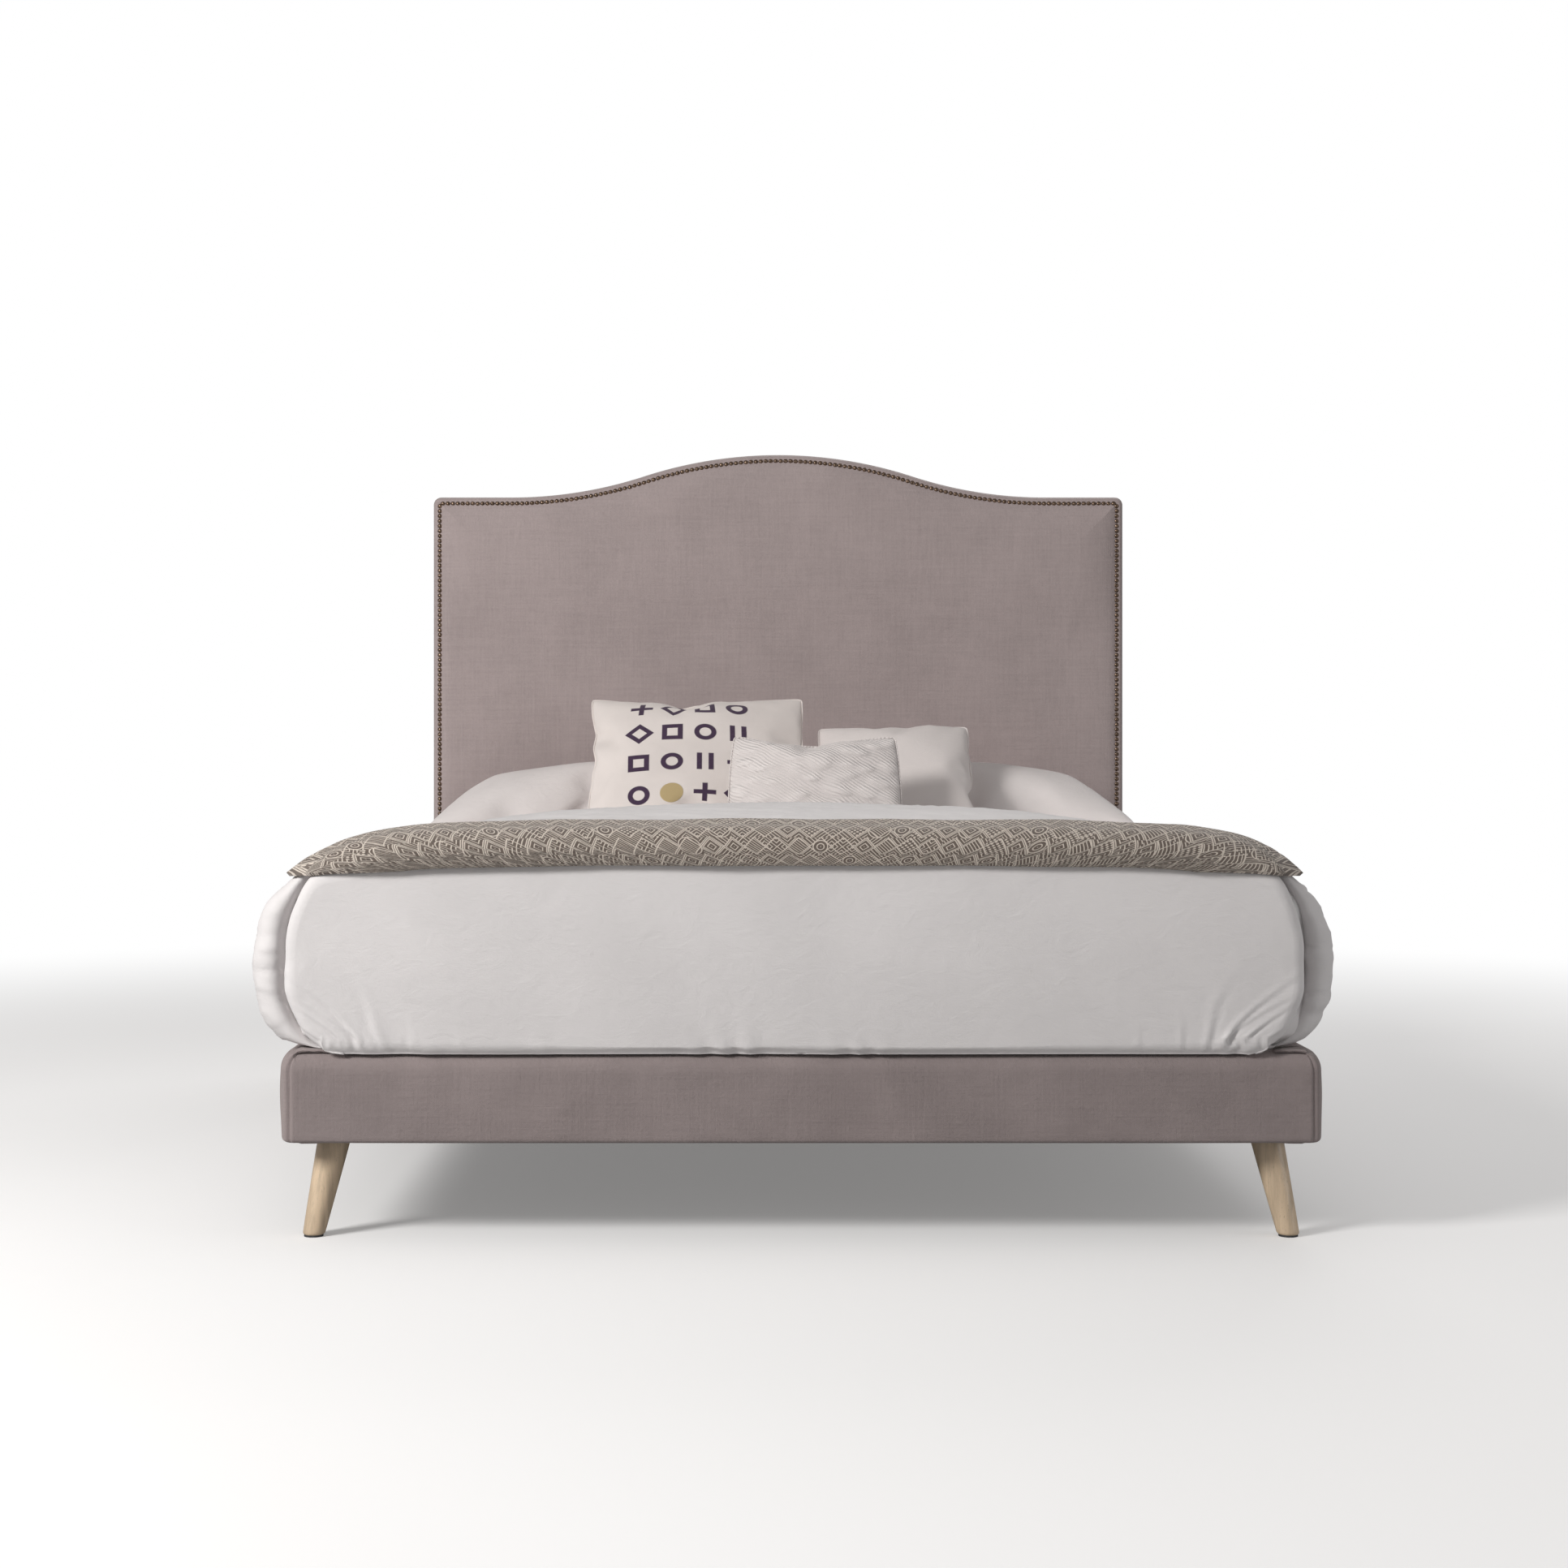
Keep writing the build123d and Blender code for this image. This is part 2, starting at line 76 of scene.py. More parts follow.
def perlin(places, size, seed=0):
    """Gradient noise, about -1 to 1, with features of a given size in metres."""
    p = np.asarray(places, float) / size
    cell = np.floor(p).astype(np.int64)
    inside = p - cell
    fade = inside**3 * (inside * (inside * 6 - 15) + 10)
    total = np.zeros(p.shape[:-1])
    for corner in range(8):
        step = np.array([corner & 1, corner >> 1 & 1, corner >> 2 & 1])
        c = cell + step
        h = (c[..., 0] * 73856093) ^ (c[..., 1] * 19349663) ^ (c[..., 2] * 83492791)
        h = (h ^ (seed * 668265263)) & 0xFFFFFFFF
        h = ((h ^ (h >> 13)) * 1274126177) & 0xFFFFFFFF
        h = h ^ (h >> 16)
        angle = (h & 0xFFFF) * (2 * math.pi / 65536)
        rise = ((h >> 8) & 0xFFFF) / 32768 - 1
        flat = np.sqrt(np.maximum(0, 1 - rise**2))
        gradient = points(flat * np.cos(angle), flat * np.sin(angle), rise)
        weight = np.prod(np.where(step, fade, 1 - fade), -1)
        total += weight * ((inside - step) * gradient).sum(-1)
    return total * 1.6


def crumple(places, size, seed=0, warp=0.35):
    """Creased cloth, 0 to 1: sharp folds with soft hollows between them."""
    drift = points(*(perlin(places, size * 1.7, seed + k) for k in (11, 12, 13)))
    bent = places + drift * size * warp
    first = 1 - np.abs(perlin(bent, size, seed)) * 1.6
    second = 1 - np.abs(perlin(bent, size * 0.45, seed + 5)) * 1.6
    return np.clip(0.7 * first**3 + 0.3 * second**3, -0.2, 1)


def curve_through(controls, count):
    """A smooth line through control points, resampled to evenly spaced points."""
    p = np.asarray(controls, float)
    p = np.vstack([2 * p[0] - p[1], p, 2 * p[-1] - p[-2]])
    t = np.linspace(0, 1, 24, endpoint=False)[:, None]
    runs = []
    for a, b, c, d in zip(p, p[1:], p[2:], p[3:]):
        square, cube = 2 * a - 5 * b + 4 * c - d, 3 * b - a - 3 * c + d
        runs.append(0.5 * (2 * b + (c - a) * t + square * t**2 + cube * t**3))
    fine = np.vstack(runs + [p[-2][None]])
    return resampled(fine, count)


def resampled(line, count):
    steps = np.linalg.norm(np.diff(line, axis=0), axis=1)
    reach = np.concatenate([[0], np.cumsum(steps)])
    even = np.linspace(0, reach[-1], count)
    return points(*(np.interp(even, reach, column) for column in line.T))


def unit(vectors):
    return vectors / np.maximum(np.linalg.norm(vectors, axis=-1, keepdims=True), 1e-9)


def normals_of(grid):
    """Unit normals of a grid of points, (rows, columns, 3)."""
    return unit(np.cross(np.gradient(grid, axis=1), np.gradient(grid, axis=0)))


def points(*parts):
    """Points from their coordinates, any of which may be a single number."""
    return np.stack(np.broadcast_arrays(*parts), -1)


def arc(low, high, count):
    """Angles in radians, from degrees."""
    return np.radians(np.linspace(low, high, count))


def circle(count):
    return np.linspace(0, 2 * math.pi, count, endpoint=False)


# ---- Mesh helpers ----


def mesh_piece(name, vertices, faces, uv=None):
    mesh = bpy.data.meshes.new(name)
    mesh.from_pydata([tuple(v) for v in vertices], [], faces)
    mesh.polygons.foreach_set("use_smooth", [True] * len(mesh.polygons))
    if uv is not None:
        layer = mesh.uv_layers.new(name="flat")
        layer.data.foreach_set("uv", np.asarray(uv, float).ravel())
    mesh.update()
    piece = bpy.data.objects.new(name, mesh)
    bpy.context.scene.collection.objects.link(piece)
    return piece


def grid_piece(name, grid, wrap=False, close_ends=False):
    """A piece from rows of points; wrap joins the last column to the first. UVs are in metres."""
    rows, columns = grid.shape[:2]
    across = np.linalg.norm(np.diff(grid, axis=1), axis=2).max(0)
    down = np.linalg.norm(np.diff(grid, axis=0), axis=2).mean(1)
    u = np.concatenate([[0], np.cumsum(across), [across.sum() + across[-1]]])
    v = np.concatenate([[0], np.cumsum(down)])
    faces, uv = [], []
    for r in range(rows - 1):
        for c in range(columns if wrap else columns - 1):
            n = (c + 1) % columns
            faces.append((r * columns + c, r * columns + n, (r + 1) * columns + n, (r + 1) * columns + c))
            uv += [(u[c], v[r]), (u[c + 1], v[r]), (u[c + 1], v[r + 1]), (u[c], v[r + 1])]
    if close_ends:
        for r, order in ((0, 1), (rows - 1, -1)):
            ring = [r * columns + c for c in range(columns)][::-order]
            faces.append(tuple(ring))
            uv += [(u[i % columns], v[r]) for i in ring]
    return mesh_piece(name, grid.reshape(-1, 3), faces, uv)


def reworked(piece, operation, elements, **settings):
    """Runs a bmesh operation on a piece's faces or points."""
    work = bmesh.new()
    work.from_mesh(piece.data)
    operation(work, **{elements: getattr(work, elements)}, **settings)
    work.to_mesh(piece.data)
    work.free()
    return piece


def face_outward(piece):
    return reworked(piece, bmesh.ops.recalc_face_normals, "faces")


def thicken(piece, thickness):
    """Gives a sheet its thickness, inward from its outer face."""
    modifier = piece.modifiers.new("thickness", "SOLIDIFY")
    modifier.thickness = thickness
    modifier.offset = -1


def ease_edges(piece, width, segments):
    modifier = piece.modifiers.new("edge", "BEVEL")
    modifier.width = width
    modifier.segments = segments
    modifier.angle_limit = math.radians(50)


def cord(name, line, radius, sides=8):
    """A round cord along a closed line of points."""
    ahead = unit(np.roll(line, -1, 0) - np.roll(line, 1, 0))
    side = unit(np.cross(ahead, [0.31, 0.87, 0.38]))
    up = np.cross(ahead, side)
    angle = circle(sides)[None, :, None]
    rings = line[:, None] + radius * (np.cos(angle) * side[:, None] + np.sin(angle) * up[:, None])
    piece = grid_piece(name, np.concatenate([rings, rings[:1]]), wrap=True)
    return face_outward(reworked(piece, bmesh.ops.remove_doubles, "verts", dist=1e-6))


def finish_piece(piece, body, material, replaces=()):
    """Gives a piece its material and its body, and hides the CAD nodes it stands for."""
    piece.data.materials.clear()
    piece.data.materials.append(material)
    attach(piece, body)
    if replaces:
        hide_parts(*replaces)
    return piece


# ---- Material helpers ----


class Field:
    """A value that varies over a surface; arithmetic on it adds Math nodes."""

    def __init__(self, shader, socket):
        self.shader, self.socket = shader, socket

    def __add__(self, other):
        return self.shader.math("ADD", self, other)

    def __sub__(self, other):
        return self.shader.math("SUBTRACT", self, other)

    def __rsub__(self, other):
        return self.shader.math("SUBTRACT", other, self)

    def __mul__(self, other):
        return self.shader.math("MULTIPLY", self, other)

    def __truediv__(self, other):
        return self.shader.math("DIVIDE", self, other)

    def __abs__(self):
        return self.shader.math("ABSOLUTE", self)


class Shader:
    """A material's node tree, with short names for the nodes that the looks are made of."""

    def __init__(self, name, roughness, **sockets):
        self.material = bpy.data.materials.new(name)
        self.material.use_nodes = True
        self.tree = self.material.node_tree
        self.surface = self.tree.nodes["Principled BSDF"]
        self.surface.inputs["Roughness"].default_value = roughness
        for socket, value in sockets.items():
            self.surface.inputs[socket.replace("_", " ")].default_value = value
        self.place = self.tree.nodes.new("ShaderNodeTexCoord")

    def feed(self, socket, value):
        """Links a varying value to a socket, or sets a plain one on it."""
        value = getattr(value, "socket", value)
        if isinstance(value, bpy.types.NodeSocket):
            self.tree.links.new(value, socket)
        else:
            socket.default_value = value

    def node(self, kind, inputs, output=0, **settings):
        """Adds a node and gives one of its outputs."""
        made = self.tree.nodes.new("ShaderNode" + kind)
        for name, value in settings.items():
            setattr(made, name, value)
        for key, value in inputs.items():
            self.feed(made.inputs[key], value)
        return Field(self, made.outputs[output])

    def at(self, scale=(1, 1, 1), turn=(0, 0, 0), flat=False):
        """Surface place in metres, scaled; flat uses the cloth's own flat measure."""
        source = self.place.outputs["UV" if flat else "Object"]
        return self.node("Mapping", {"Vector": source, "Scale": scale, "Rotation": turn})

    def noise(self, size, detail=3, rough=0.5, distort=0.0, **place):
        inputs = {"Scale": 1 / size, "Detail": detail, "Roughness": rough, "Distortion": distort}
        return self.node("TexNoise", {"Vector": self.at(**place), **inputs}, "Fac")

    def math(self, operation, *values):
        return self.node("Math", dict(enumerate(values)), operation=operation)

    def ramp(self, factor, low, high):
        """0 at low, 1 at high, smooth between."""
        inputs = {"Value": factor, "From Min": low, "From Max": high}
        return self.node("MapRange", inputs, "Result", interpolation_type="SMOOTHSTEP")

    def mix(self, factor, a, b):
        a, b = ((*value, 1) if isinstance(value, tuple) else value for value in (a, b))
        return self.node("Mix", {0: factor, 6: a, 7: b}, 2, data_type="RGBA")

    def split(self, where):
        outputs = self.node("SeparateXYZ", {"Vector": where}).socket.node.outputs
        return [Field(self, output) for output in outputs]

    def cell(self, value, pitch):
        """Which repeat of a pitch a value is in, and how far through it, -0.5 to 0.5."""
        repeats = value / pitch
        return self.math("FLOOR", repeats), self.math("FRACT", repeats) - 0.5

    def weave(self, pitch, flat=False):
        """Over-and-under threads, 0 to 1."""
        x, y, z = self.split(self.at(flat=flat))
        if not flat:
            x, y = x + y * 0.999, z
        warp, weft = (self.math("SINE", line * (2 * math.pi / pitch)) for line in (x, y))
        return warp * weft * 0.5 + 0.5

    def finished(self, colour, *layers, rough=None):
        """Sets the colour, the bump from (height, depth in metres) layers, and the roughness."""
        self.feed(self.surface.inputs["Base Color"], colour)
        if rough is not None:
            self.feed(self.surface.inputs["Roughness"], rough)
        normal = {}
        for height, depth in layers:
            bump = self.node("Bump", {"Height": height, "Distance": depth, "Strength": 1.0, **normal})
            normal = {"Normal": bump}
        self.feed(self.surface.inputs["Normal"], bump)
        return self.material


def shade(colour, factor):
    return tuple(min(1, c * factor) for c in colour)


# ---- Colours of the real materials ----

TAUPE = (0.405, 0.338, 0.333)
WHITE = (0.765, 0.738, 0.738)
PILLOW_WHITE = (0.81, 0.758, 0.745)
CUSHION_WHITE = (0.79, 0.732, 0.712)
CREAM = (0.84, 0.77, 0.735)
THROW_GROUND = (0.165, 0.130, 0.108)
THROW_PATTERN = (0.73, 0.645, 0.565)
PLUM = (0.052, 0.028, 0.060)
GOLD = (0.52, 0.40, 0.21)
BEECH = (0.64, 0.495, 0.345)
BRONZE = (0.185, 0.128, 0.092)
PINE = (0.62, 0.46, 0.29)
BIRCH_PLY = (0.66, 0.52, 0.34)


def upholstery_material(name, colour, linen_share, blotch):
    """Short-pile upholstery: soft brushed blotches over a fine linen weave."""
    s = Shader(name, 0.86, Sheen_Weight=0.35, Sheen_Roughness=0.45, Specular_IOR_Level=0.25,
               Sheen_Tint=(0.86, 0.80, 0.78, 1))
    brushed = s.noise(0.15, 5, 0.62, 0.3, scale=(1, 1, 0.8))
    pile = s.noise(0.005, 3, 0.7)
    warp = s.noise(0.0045, 3, 0.6, scale=(1, 1, 0.045))
    weft = s.noise(0.0045, 3, 0.6, scale=(0.045, 0.045, 1))
    linen = warp * 0.5 + weft * 0.5
    base = s.mix(s.ramp(brushed, 0.30, 0.72), shade(colour, 1 - blotch), shade(colour, 1 + blotch))
    base = s.mix(s.ramp(pile, 0.30, 0.72) * 0.12, base, shade(colour, 1.45))
    base = s.mix(s.ramp(linen, 0.50, 0.64) * linen_share, base, shade(colour, 0.66))
    base = s.mix(s.ramp(linen, 0.50, 0.38) * (linen_share * 0.8), base, shade(colour, 1.32))
    layers = (s.weave(0.0021), 0.00028), (linen, 0.0012), (pile, 0.0006), (brushed, 0.0022)
    return s.finished(base, *layers, rough=brushed * 0.12 + 0.78)


def cotton_material(name, colour, crease=0.0012):
    """Smooth percale: fine threads, slight slubs and soft pressed creases."""
    s = Shader(name, 0.74, Sheen_Weight=0.12, Sheen_Roughness=0.5, Specular_IOR_Level=0.3)
    tone = s.noise(0.16, distort=0.3)
    slub = s.noise(0.012, 2, 0.6, scale=(1, 1, 9))
    pressed = s.noise(0.045, 4, 0.55, 1.4, scale=(1, 1, 1.6))
    base = s.mix(s.ramp(tone, 0.3, 0.7), shade(colour, 0.965), shade(colour, 1.02))
    base = s.mix(s.ramp(slub, 0.45, 0.8) * 0.10, base, shade(colour, 0.86))
    layers = (s.weave(0.0011), 0.0001), (slub, 0.00012), (pressed, crease)
    return s.finished(base, *layers, rough=tone * 0.12 + 0.68)


def throw_material(length):
    """Jacquard: lozenges corner to corner, filled with lines, rings, hatching or dots."""
    s = Shader("throw_jacquard", 0.88, Sheen_Weight=0.25, Sheen_Roughness=0.5, Specular_IOR_Level=0.2)
    drift = s.noise(0.06, 2, flat=True)
    x, y, _ = s.split(s.at(flat=True))
    to_far_edge = length - y
    x, y = x + drift * 0.006, y + drift * -0.005

    def lines(value, repeats):
        return s.ramp(abs(s.math("FRACT", value * repeats) - 0.5), 0.280, 0.401)

    wide, tall, hatch_pitch, dot_pitch = 0.037, 0.042, 0.0064, 0.0092
    row, v = s.cell(y, tall)
    column, u = s.cell(x + row * (wide * 0.5), wide)
    u, v = abs(u), abs(v)
    # a point belongs to its own cell's lozenge or to the gap round it
    lozenge = u + v
    inner = s.math("LESS_THAN", lozenge, 0.5)
    place = s.node("CombineXYZ", {0: column, 1: row, 2: inner})
    choice = s.node("TexWhiteNoise", {"Vector": place}, "Value", noise_dimensions="3D")
    rings = lines(s.math("SQRT", u * u + v * v), 6.0)
    dot_x, dot_y = (s.math("SINE", line * (2 * math.pi / dot_pitch)) for line in (x, y))
    dots = s.ramp(dot_x * dot_y, -0.05, 0.35)
    pattern = lines(lozenge, 5.0)
    motifs = (0.34, rings), (0.46, lines(x + y, 1 / hatch_pitch)), (0.63, lines(u - v, 5.0)), (0.83, dots)
    for start, motif in motifs:
        pattern = s.mix(s.ramp(choice, start, start + 0.001), pattern, motif)
    pattern = s.math("MAXIMUM", pattern, s.ramp(abs(lozenge - 0.5), 0.052, 0.024))
    # cream hem along the far edge
    pattern = s.math("MAXIMUM", pattern, 1.0 - s.ramp(to_far_edge, 0.010, 0.015))

    yarn = s.weave(0.0019, flat=True)
    fluff = s.noise(0.0035, 3, 0.7, flat=True)
    pattern = pattern * (fluff * 0.95 + 0.47)
    ground = s.mix(s.ramp(fluff, 0.35, 0.7), shade(THROW_GROUND, 0.78), shade(THROW_GROUND, 1.22))
    cream = s.mix(yarn, shade(THROW_PATTERN, 0.88), shade(THROW_PATTERN, 1.10))
    cloth = s.mix(s.ramp(pattern, 0.25, 0.75), ground, cream)
    return s.finished(cloth, (yarn, 0.0004), (fluff, 0.0006), (pattern, 0.0005))


def printed_material(width, height):
    """Cream linen with a four by four grid of plain printed shapes and one gold disc."""
    s = Shader("cushion_print", 0.8, Sheen_Weight=0.15, Sheen_Roughness=0.5, Specular_IOR_Level=0.25)
    x, y, _ = s.split(s.at(flat=True))
    cell_wide, cell_tall = 0.071, 0.086
    column, px = s.cell(x - width * 0.185, cell_wide)
    row, py = s.cell(y - height * 0.165, cell_tall)
    px, py = px * cell_wide, py * cell_tall
    ax, ay = abs(px), abs(py)

    def inside(value, limit):
        return 1.0 - s.ramp(value, limit - 0.0011, limit + 0.0011)

    def outline(value, limit, thickness):
        return inside(value, limit) * s.ramp(value, limit - thickness - 0.001, limit - thickness + 0.001)

    size, stroke = 0.0240, 0.0112
    radial = s.math("SQRT", px * px + py * py)
    square = s.math("MAXIMUM", ax, ay)
    upright, level = (inside(a, stroke / 2) * inside(b, size) for a, b in ((ax, ay), (ay, ax)))
    cross = s.math("MAXIMUM", upright, level)
    bars = inside(square, size) * inside(abs(ax - 0.0125), stroke / 2)

    # each place in the grid takes one of the five marks in turn
    turn = s.math("FRACT", (column * 2.0 + row * 3.0) * 0.2)
    mark = outline(radial, size, stroke)
    diamond = outline(ax + ay, size * 1.30, stroke * 1.35)
    marks = (0.15, diamond), (0.35, bars), (0.55, outline(square, size * 0.94, stroke)), (0.75, cross)
    for start, shape in marks:
        mark = s.mix(s.ramp(turn, start, start + 0.001), mark, shape)
    within = s.math("COMPARE", column, 1.5, 1.6) * s.math("COMPARE", row, 1.5, 1.6)
    gold_here = s.math("COMPARE", column, 1.0, 0.1) * s.math("COMPARE", row, 0.0, 0.1)
    mark = mark * (within * (1.0 - gold_here))
    disc = inside(radial, size * 1.05) * gold_here

    thread = s.weave(0.0013, flat=True)
    cloth = s.mix(s.ramp(s.noise(0.12), 0.3, 0.7), shade(CREAM, 0.95), shade(CREAM, 1.03))
    cloth = s.mix(thread * 0.12, cloth, shade(CREAM, 0.80))
    ink = s.mix(s.noise(0.004, 2), shade(PLUM, 0.8), shade(PLUM, 1.5))
    printed = s.mix(disc, s.mix(mark, cloth, ink), GOLD)
    raised = s.math("MAXIMUM", mark, disc)
    return s.finished(printed, (thread, 0.00016), (raised, 0.0007), (s.noise(0.05, 4, 0.5, 1.0), 0.001))


def embossed_material():
    """White cotton with a raised leaf pattern pressed into it."""
    s = Shader("cotton_embossed", 0.70, Sheen_Weight=0.15, Sheen_Roughness=0.5, Specular_IOR_Level=0.3)
    x, y, _ = s.split(s.at(flat=True))
    x = x + s.noise(0.09, 2, flat=True) * 0.05
    place = s.at((1.0, 2.2, 1), (0, 0, 0.6), flat=True)
    inputs = {"Vector": place, "Scale": 1 / 0.052, "Randomness": 0.9}
    leaf = s.node("TexVoronoi", inputs, "Distance", feature="SMOOTH_F1")
    vein = s.math("SINE", (x + y * 1.7) * (2 * math.pi / 0.013))
    raised = vein * 0.12 + s.ramp(leaf, 0.55, 0.15)
    # the raised leaves are painted lighter and the hollows between them darker, a painted shade of the relief,
    # over random tone
    tone = raised * 0.5 + s.noise(0.1) * 0.4
    colour = s.mix(tone, (0.74, 0.685, 0.668), (0.86, 0.805, 0.785))
    return s.finished(colour, (s.weave(0.0012, flat=True), 0.0001), (raised, 0.0045))


def beech_material(name, turn):
    """Pale beech with long grain, fine flecks and a thin satin lacquer."""
    s = Shader(name, 0.42, Coat_Weight=0.25, Coat_Roughness=0.22, Specular_IOR_Level=0.4)
    grain = s.noise(0.006, 4, 0.6, 0.8, scale=(1, 1, 0.05), turn=turn)
    rings = s.noise(0.022, 2, 0.4, 1.5, scale=(1, 1, 0.12), turn=turn)
    fleck = s.noise(0.0022, 2, 0.8, scale=(1, 1, 0.22), turn=turn)
    base = s.mix(s.ramp(rings, 0.35, 0.65), shade(BEECH, 0.84), shade(BEECH, 1.08))
    base = s.mix(s.ramp(grain, 0.45, 0.75) * 0.42, base, shade(BEECH, 0.60))
    base = s.mix(s.ramp(fleck, 0.60, 0.75) * 0.45, base, shade(BEECH, 0.42))
    return s.finished(base, (grain, 0.00018), (fleck, 0.0001), rough=grain * 0.18 + 0.33)


def bronze_material():
    """Antique bronze: dark in the hollows, rubbed bright on top."""
    s = Shader("nail_bronze", 0.34, Metallic=0.92)
    patina = s.noise(0.004, 4, 0.65)
    colour = s.mix(s.ramp(patina, 0.35, 0.68), shade(BRONZE, 0.5), shade(BRONZE, 1.7))
    return s.finished(colour, (s.noise(0.0017, 2, 0.6), 0.00012), rough=patina * 0.30 + 0.20)


def plain_wood_material(name, colour, stretch):
    """Unfinished structural wood with grain along its length."""
    s = Shader(name, 0.72)
    grain = s.noise(0.012, 4, 0.65, 0.6, scale=stretch)
    knots = s.noise(0.06, 2, 0.5, 2.0, scale=stretch)
    base = s.mix(s.ramp(grain, 0.38, 0.7), shade(colour, 1.08), shade(colour, 0.72))
    base = s.mix(s.ramp(knots, 0.62, 0.72) * 0.5, base, shade(colour, 0.42))
    return s.finished(base, (grain, 0.0004), rough=grain * 0.2 + 0.62)


def lining_material():
    """Black non-woven dust cloth: felted fibres with a faint bonded grid."""
    s = Shader("dust_cloth", 0.9, Sheen_Weight=0.2)
    fibre = s.noise(0.0035, 5, 0.75, 1.2)
    x, y, z = s.split(s.at())
    grid = s.math("PINGPONG", x, 0.003) * s.math("PINGPONG", y + z, 0.003) * 110000.0
    colour = s.mix(s.ramp(fibre, 0.35, 0.75), (0.014, 0.014, 0.015), (0.06, 0.06, 0.062))
    return s.finished(colour, (fibre, 0.0005), (grid, 0.0002))


def foam_material():
    """Open-cell foam, yellowed a little."""
    s = Shader("upholstery_foam", 0.95)
    cells = s.node("TexVoronoi", {"Vector": s.at(), "Scale": 600.0}, "Distance")
    colour = s.mix(s.ramp(cells, 0.1, 0.6), (0.72, 0.62, 0.38), (0.86, 0.78, 0.55))
    return s.finished(colour, (cells, 0.0008))


def steel_material():
    """Zinc plate: bright, with a fine spangle."""
    s = Shader("zinc_plate", 0.36, Metallic=1.0)
    tone = s.split(s.node("TexVoronoi", {"Vector": s.at(), "Scale": 900.0}, "Color"))[0]
    colour = s.mix(tone, (0.50, 0.52, 0.55), (0.66, 0.67, 0.68))
    return s.finished(colour, (s.noise(0.002, 2), 0.00005), rough=tone * 0.2 + 0.28)


def nylon_material():
    """Moulded black nylon with a fine spark grain."""
    s = Shader("nylon_glide", 0.5)
    grain = s.noise(0.0009, 3, 0.6)
    colour = s.mix(s.ramp(grain, 0.3, 0.7), (0.025, 0.025, 0.027), (0.06, 0.06, 0.062))
    return s.finished(colour, (grain, 0.00012), rough=grain * 0.25 + 0.38)


def ticking_material():
    """Knitted mattress cover, quilted in diamonds."""
    s = Shader("mattress_ticking", 0.85, Sheen_Weight=0.2)
    x, y, z = s.split(s.at())
    x = x + y
    slopes = (s.math("PINGPONG", line, 0.035) for line in (x + z, x - z))
    quilt = s.math("SQRT", s.math("MINIMUM", *slopes))
    knit = s.weave(0.003)
    colour = s.mix(s.ramp(knit, 0.2, 0.8), (0.66, 0.65, 0.65), (0.80, 0.79, 0.78))
    return s.finished(colour, (knit, 0.0003), (quilt, 0.02))


def floor_material():
    """Pale studio floor that fades into the white background away from the bed."""
    s = Shader("studio_floor", 0.72, Specular_IOR_Level=0.1, Emission_Color=(1, 0.98, 0.965, 1))
    seen = s.node("LightPath", {}, "Is Camera Ray")
    pale = s.mix(s.noise(0.8), (0.800, 0.800, 0.803), (0.820, 0.820, 0.823))
    s.feed(s.surface.inputs["Emission Strength"], seen * 0.215)
    s.finished(s.mix(seen, (0.42, 0.42, 0.42), pale), (s.noise(0.02), 0.0001))
    away = s.node("VectorMath", {0: s.at((1, 0.9, 1))}, "Value", operation="LENGTH")
    glow = s.node("Emission", {"Color": (1, 1, 1, 1), "Strength": 1.0})
    fade = s.ramp(away, 1.9, 4.6) * seen
    blend = s.node("MixShader", {0: fade, 1: s.surface.outputs[0], 2: glow})
    s.feed(s.tree.nodes["Material Output"].inputs["Surface"], blend)
    return s.material


taupe = upholstery_material("upholstery_headboard", TAUPE, 0.15, 0.055)
# the base wears the headboard's fabric painted darker: painted shade for the shade on the base below the duvet
base_taupe_painted_shade = upholstery_material("upholstery_base_painted_shade", shade(TAUPE, 0.70), 0.06, 0.085)
white = cotton_material("cotton_white", WHITE)
duvet_white = cotton_material("cotton_duvet", WHITE, 0.0009)
pillow_white = cotton_material("cotton_pillow", PILLOW_WHITE)

# ---- Base upholstery ----

SEAM_IN = 0.013         # the side panels stand this far proud of the corner seams
FRONT_HALF = BASE_HALF - SEAM_IN
BASE_TOP_ROUND = 0.030
BASE_LOW_ROUND = 0.007
BASE_TUCK = 0.056


def base_plan():
    """Plan outline of the base, anticlockwise, denser near the four corner seams."""
    half, length, r = FRONT_HALF, BASE_LENGTH, 0.010
    corners = [(half - r, r, -90), (half - r, length - r, 0), (-half + r, length - r, 90), (-half + r, r, 180)]
    rounds = []
    for x, d, start in corners:
        turn = arc(start, start + 90, 13)
        rounds.append(points(x + r * np.cos(turn), d + r * np.sin(turn)))
    at_seam = np.exp(-((np.linspace(-1, 1, 13) / 0.22) ** 2))
    ease = (np.sin(arc(-90, 90, 110)) * 0.5 + 0.5)[1:-1, None]
    plan, seams = [], []
    for corner, following in zip(rounds, rounds[1:] + rounds[:1]):
        plan += [corner, corner[-1] + (following[0] - corner[-1]) * ease]
        seams += [at_seam, np.zeros(len(ease))]
    return np.vstack(plan), np.concatenate(seams)


def base_profile():
    """From the deck edge over the top round, down the side and under: (inset, height, side share)."""
    r, q = BASE_TOP_ROUND, BASE_LOW_ROUND
    low, high = base_low.z, base_high.z
    rows = [(0.062, high - 0.0005, 0.0), (0.050, high, 0.0), (0.040, high, 0.0)]
    for a in arc(0, 90, 9):
        rows.append((r - r * math.sin(a), high - r + r * math.cos(a), math.sin(a)))
    for z in np.linspace(high - r - 0.006, low + q + 0.006, 16):
        rows.append((0.0, z, 1.0))
    for a in arc(0, 90, 6):
        rows.append((q - q * math.cos(a), low + q - q * math.sin(a), math.cos(a) * 0.9))
    rows += [(0.02, low, 0.0), (0.04, low, 0.0), (BASE_TUCK, low + 0.001, 0.0)]
    return rows


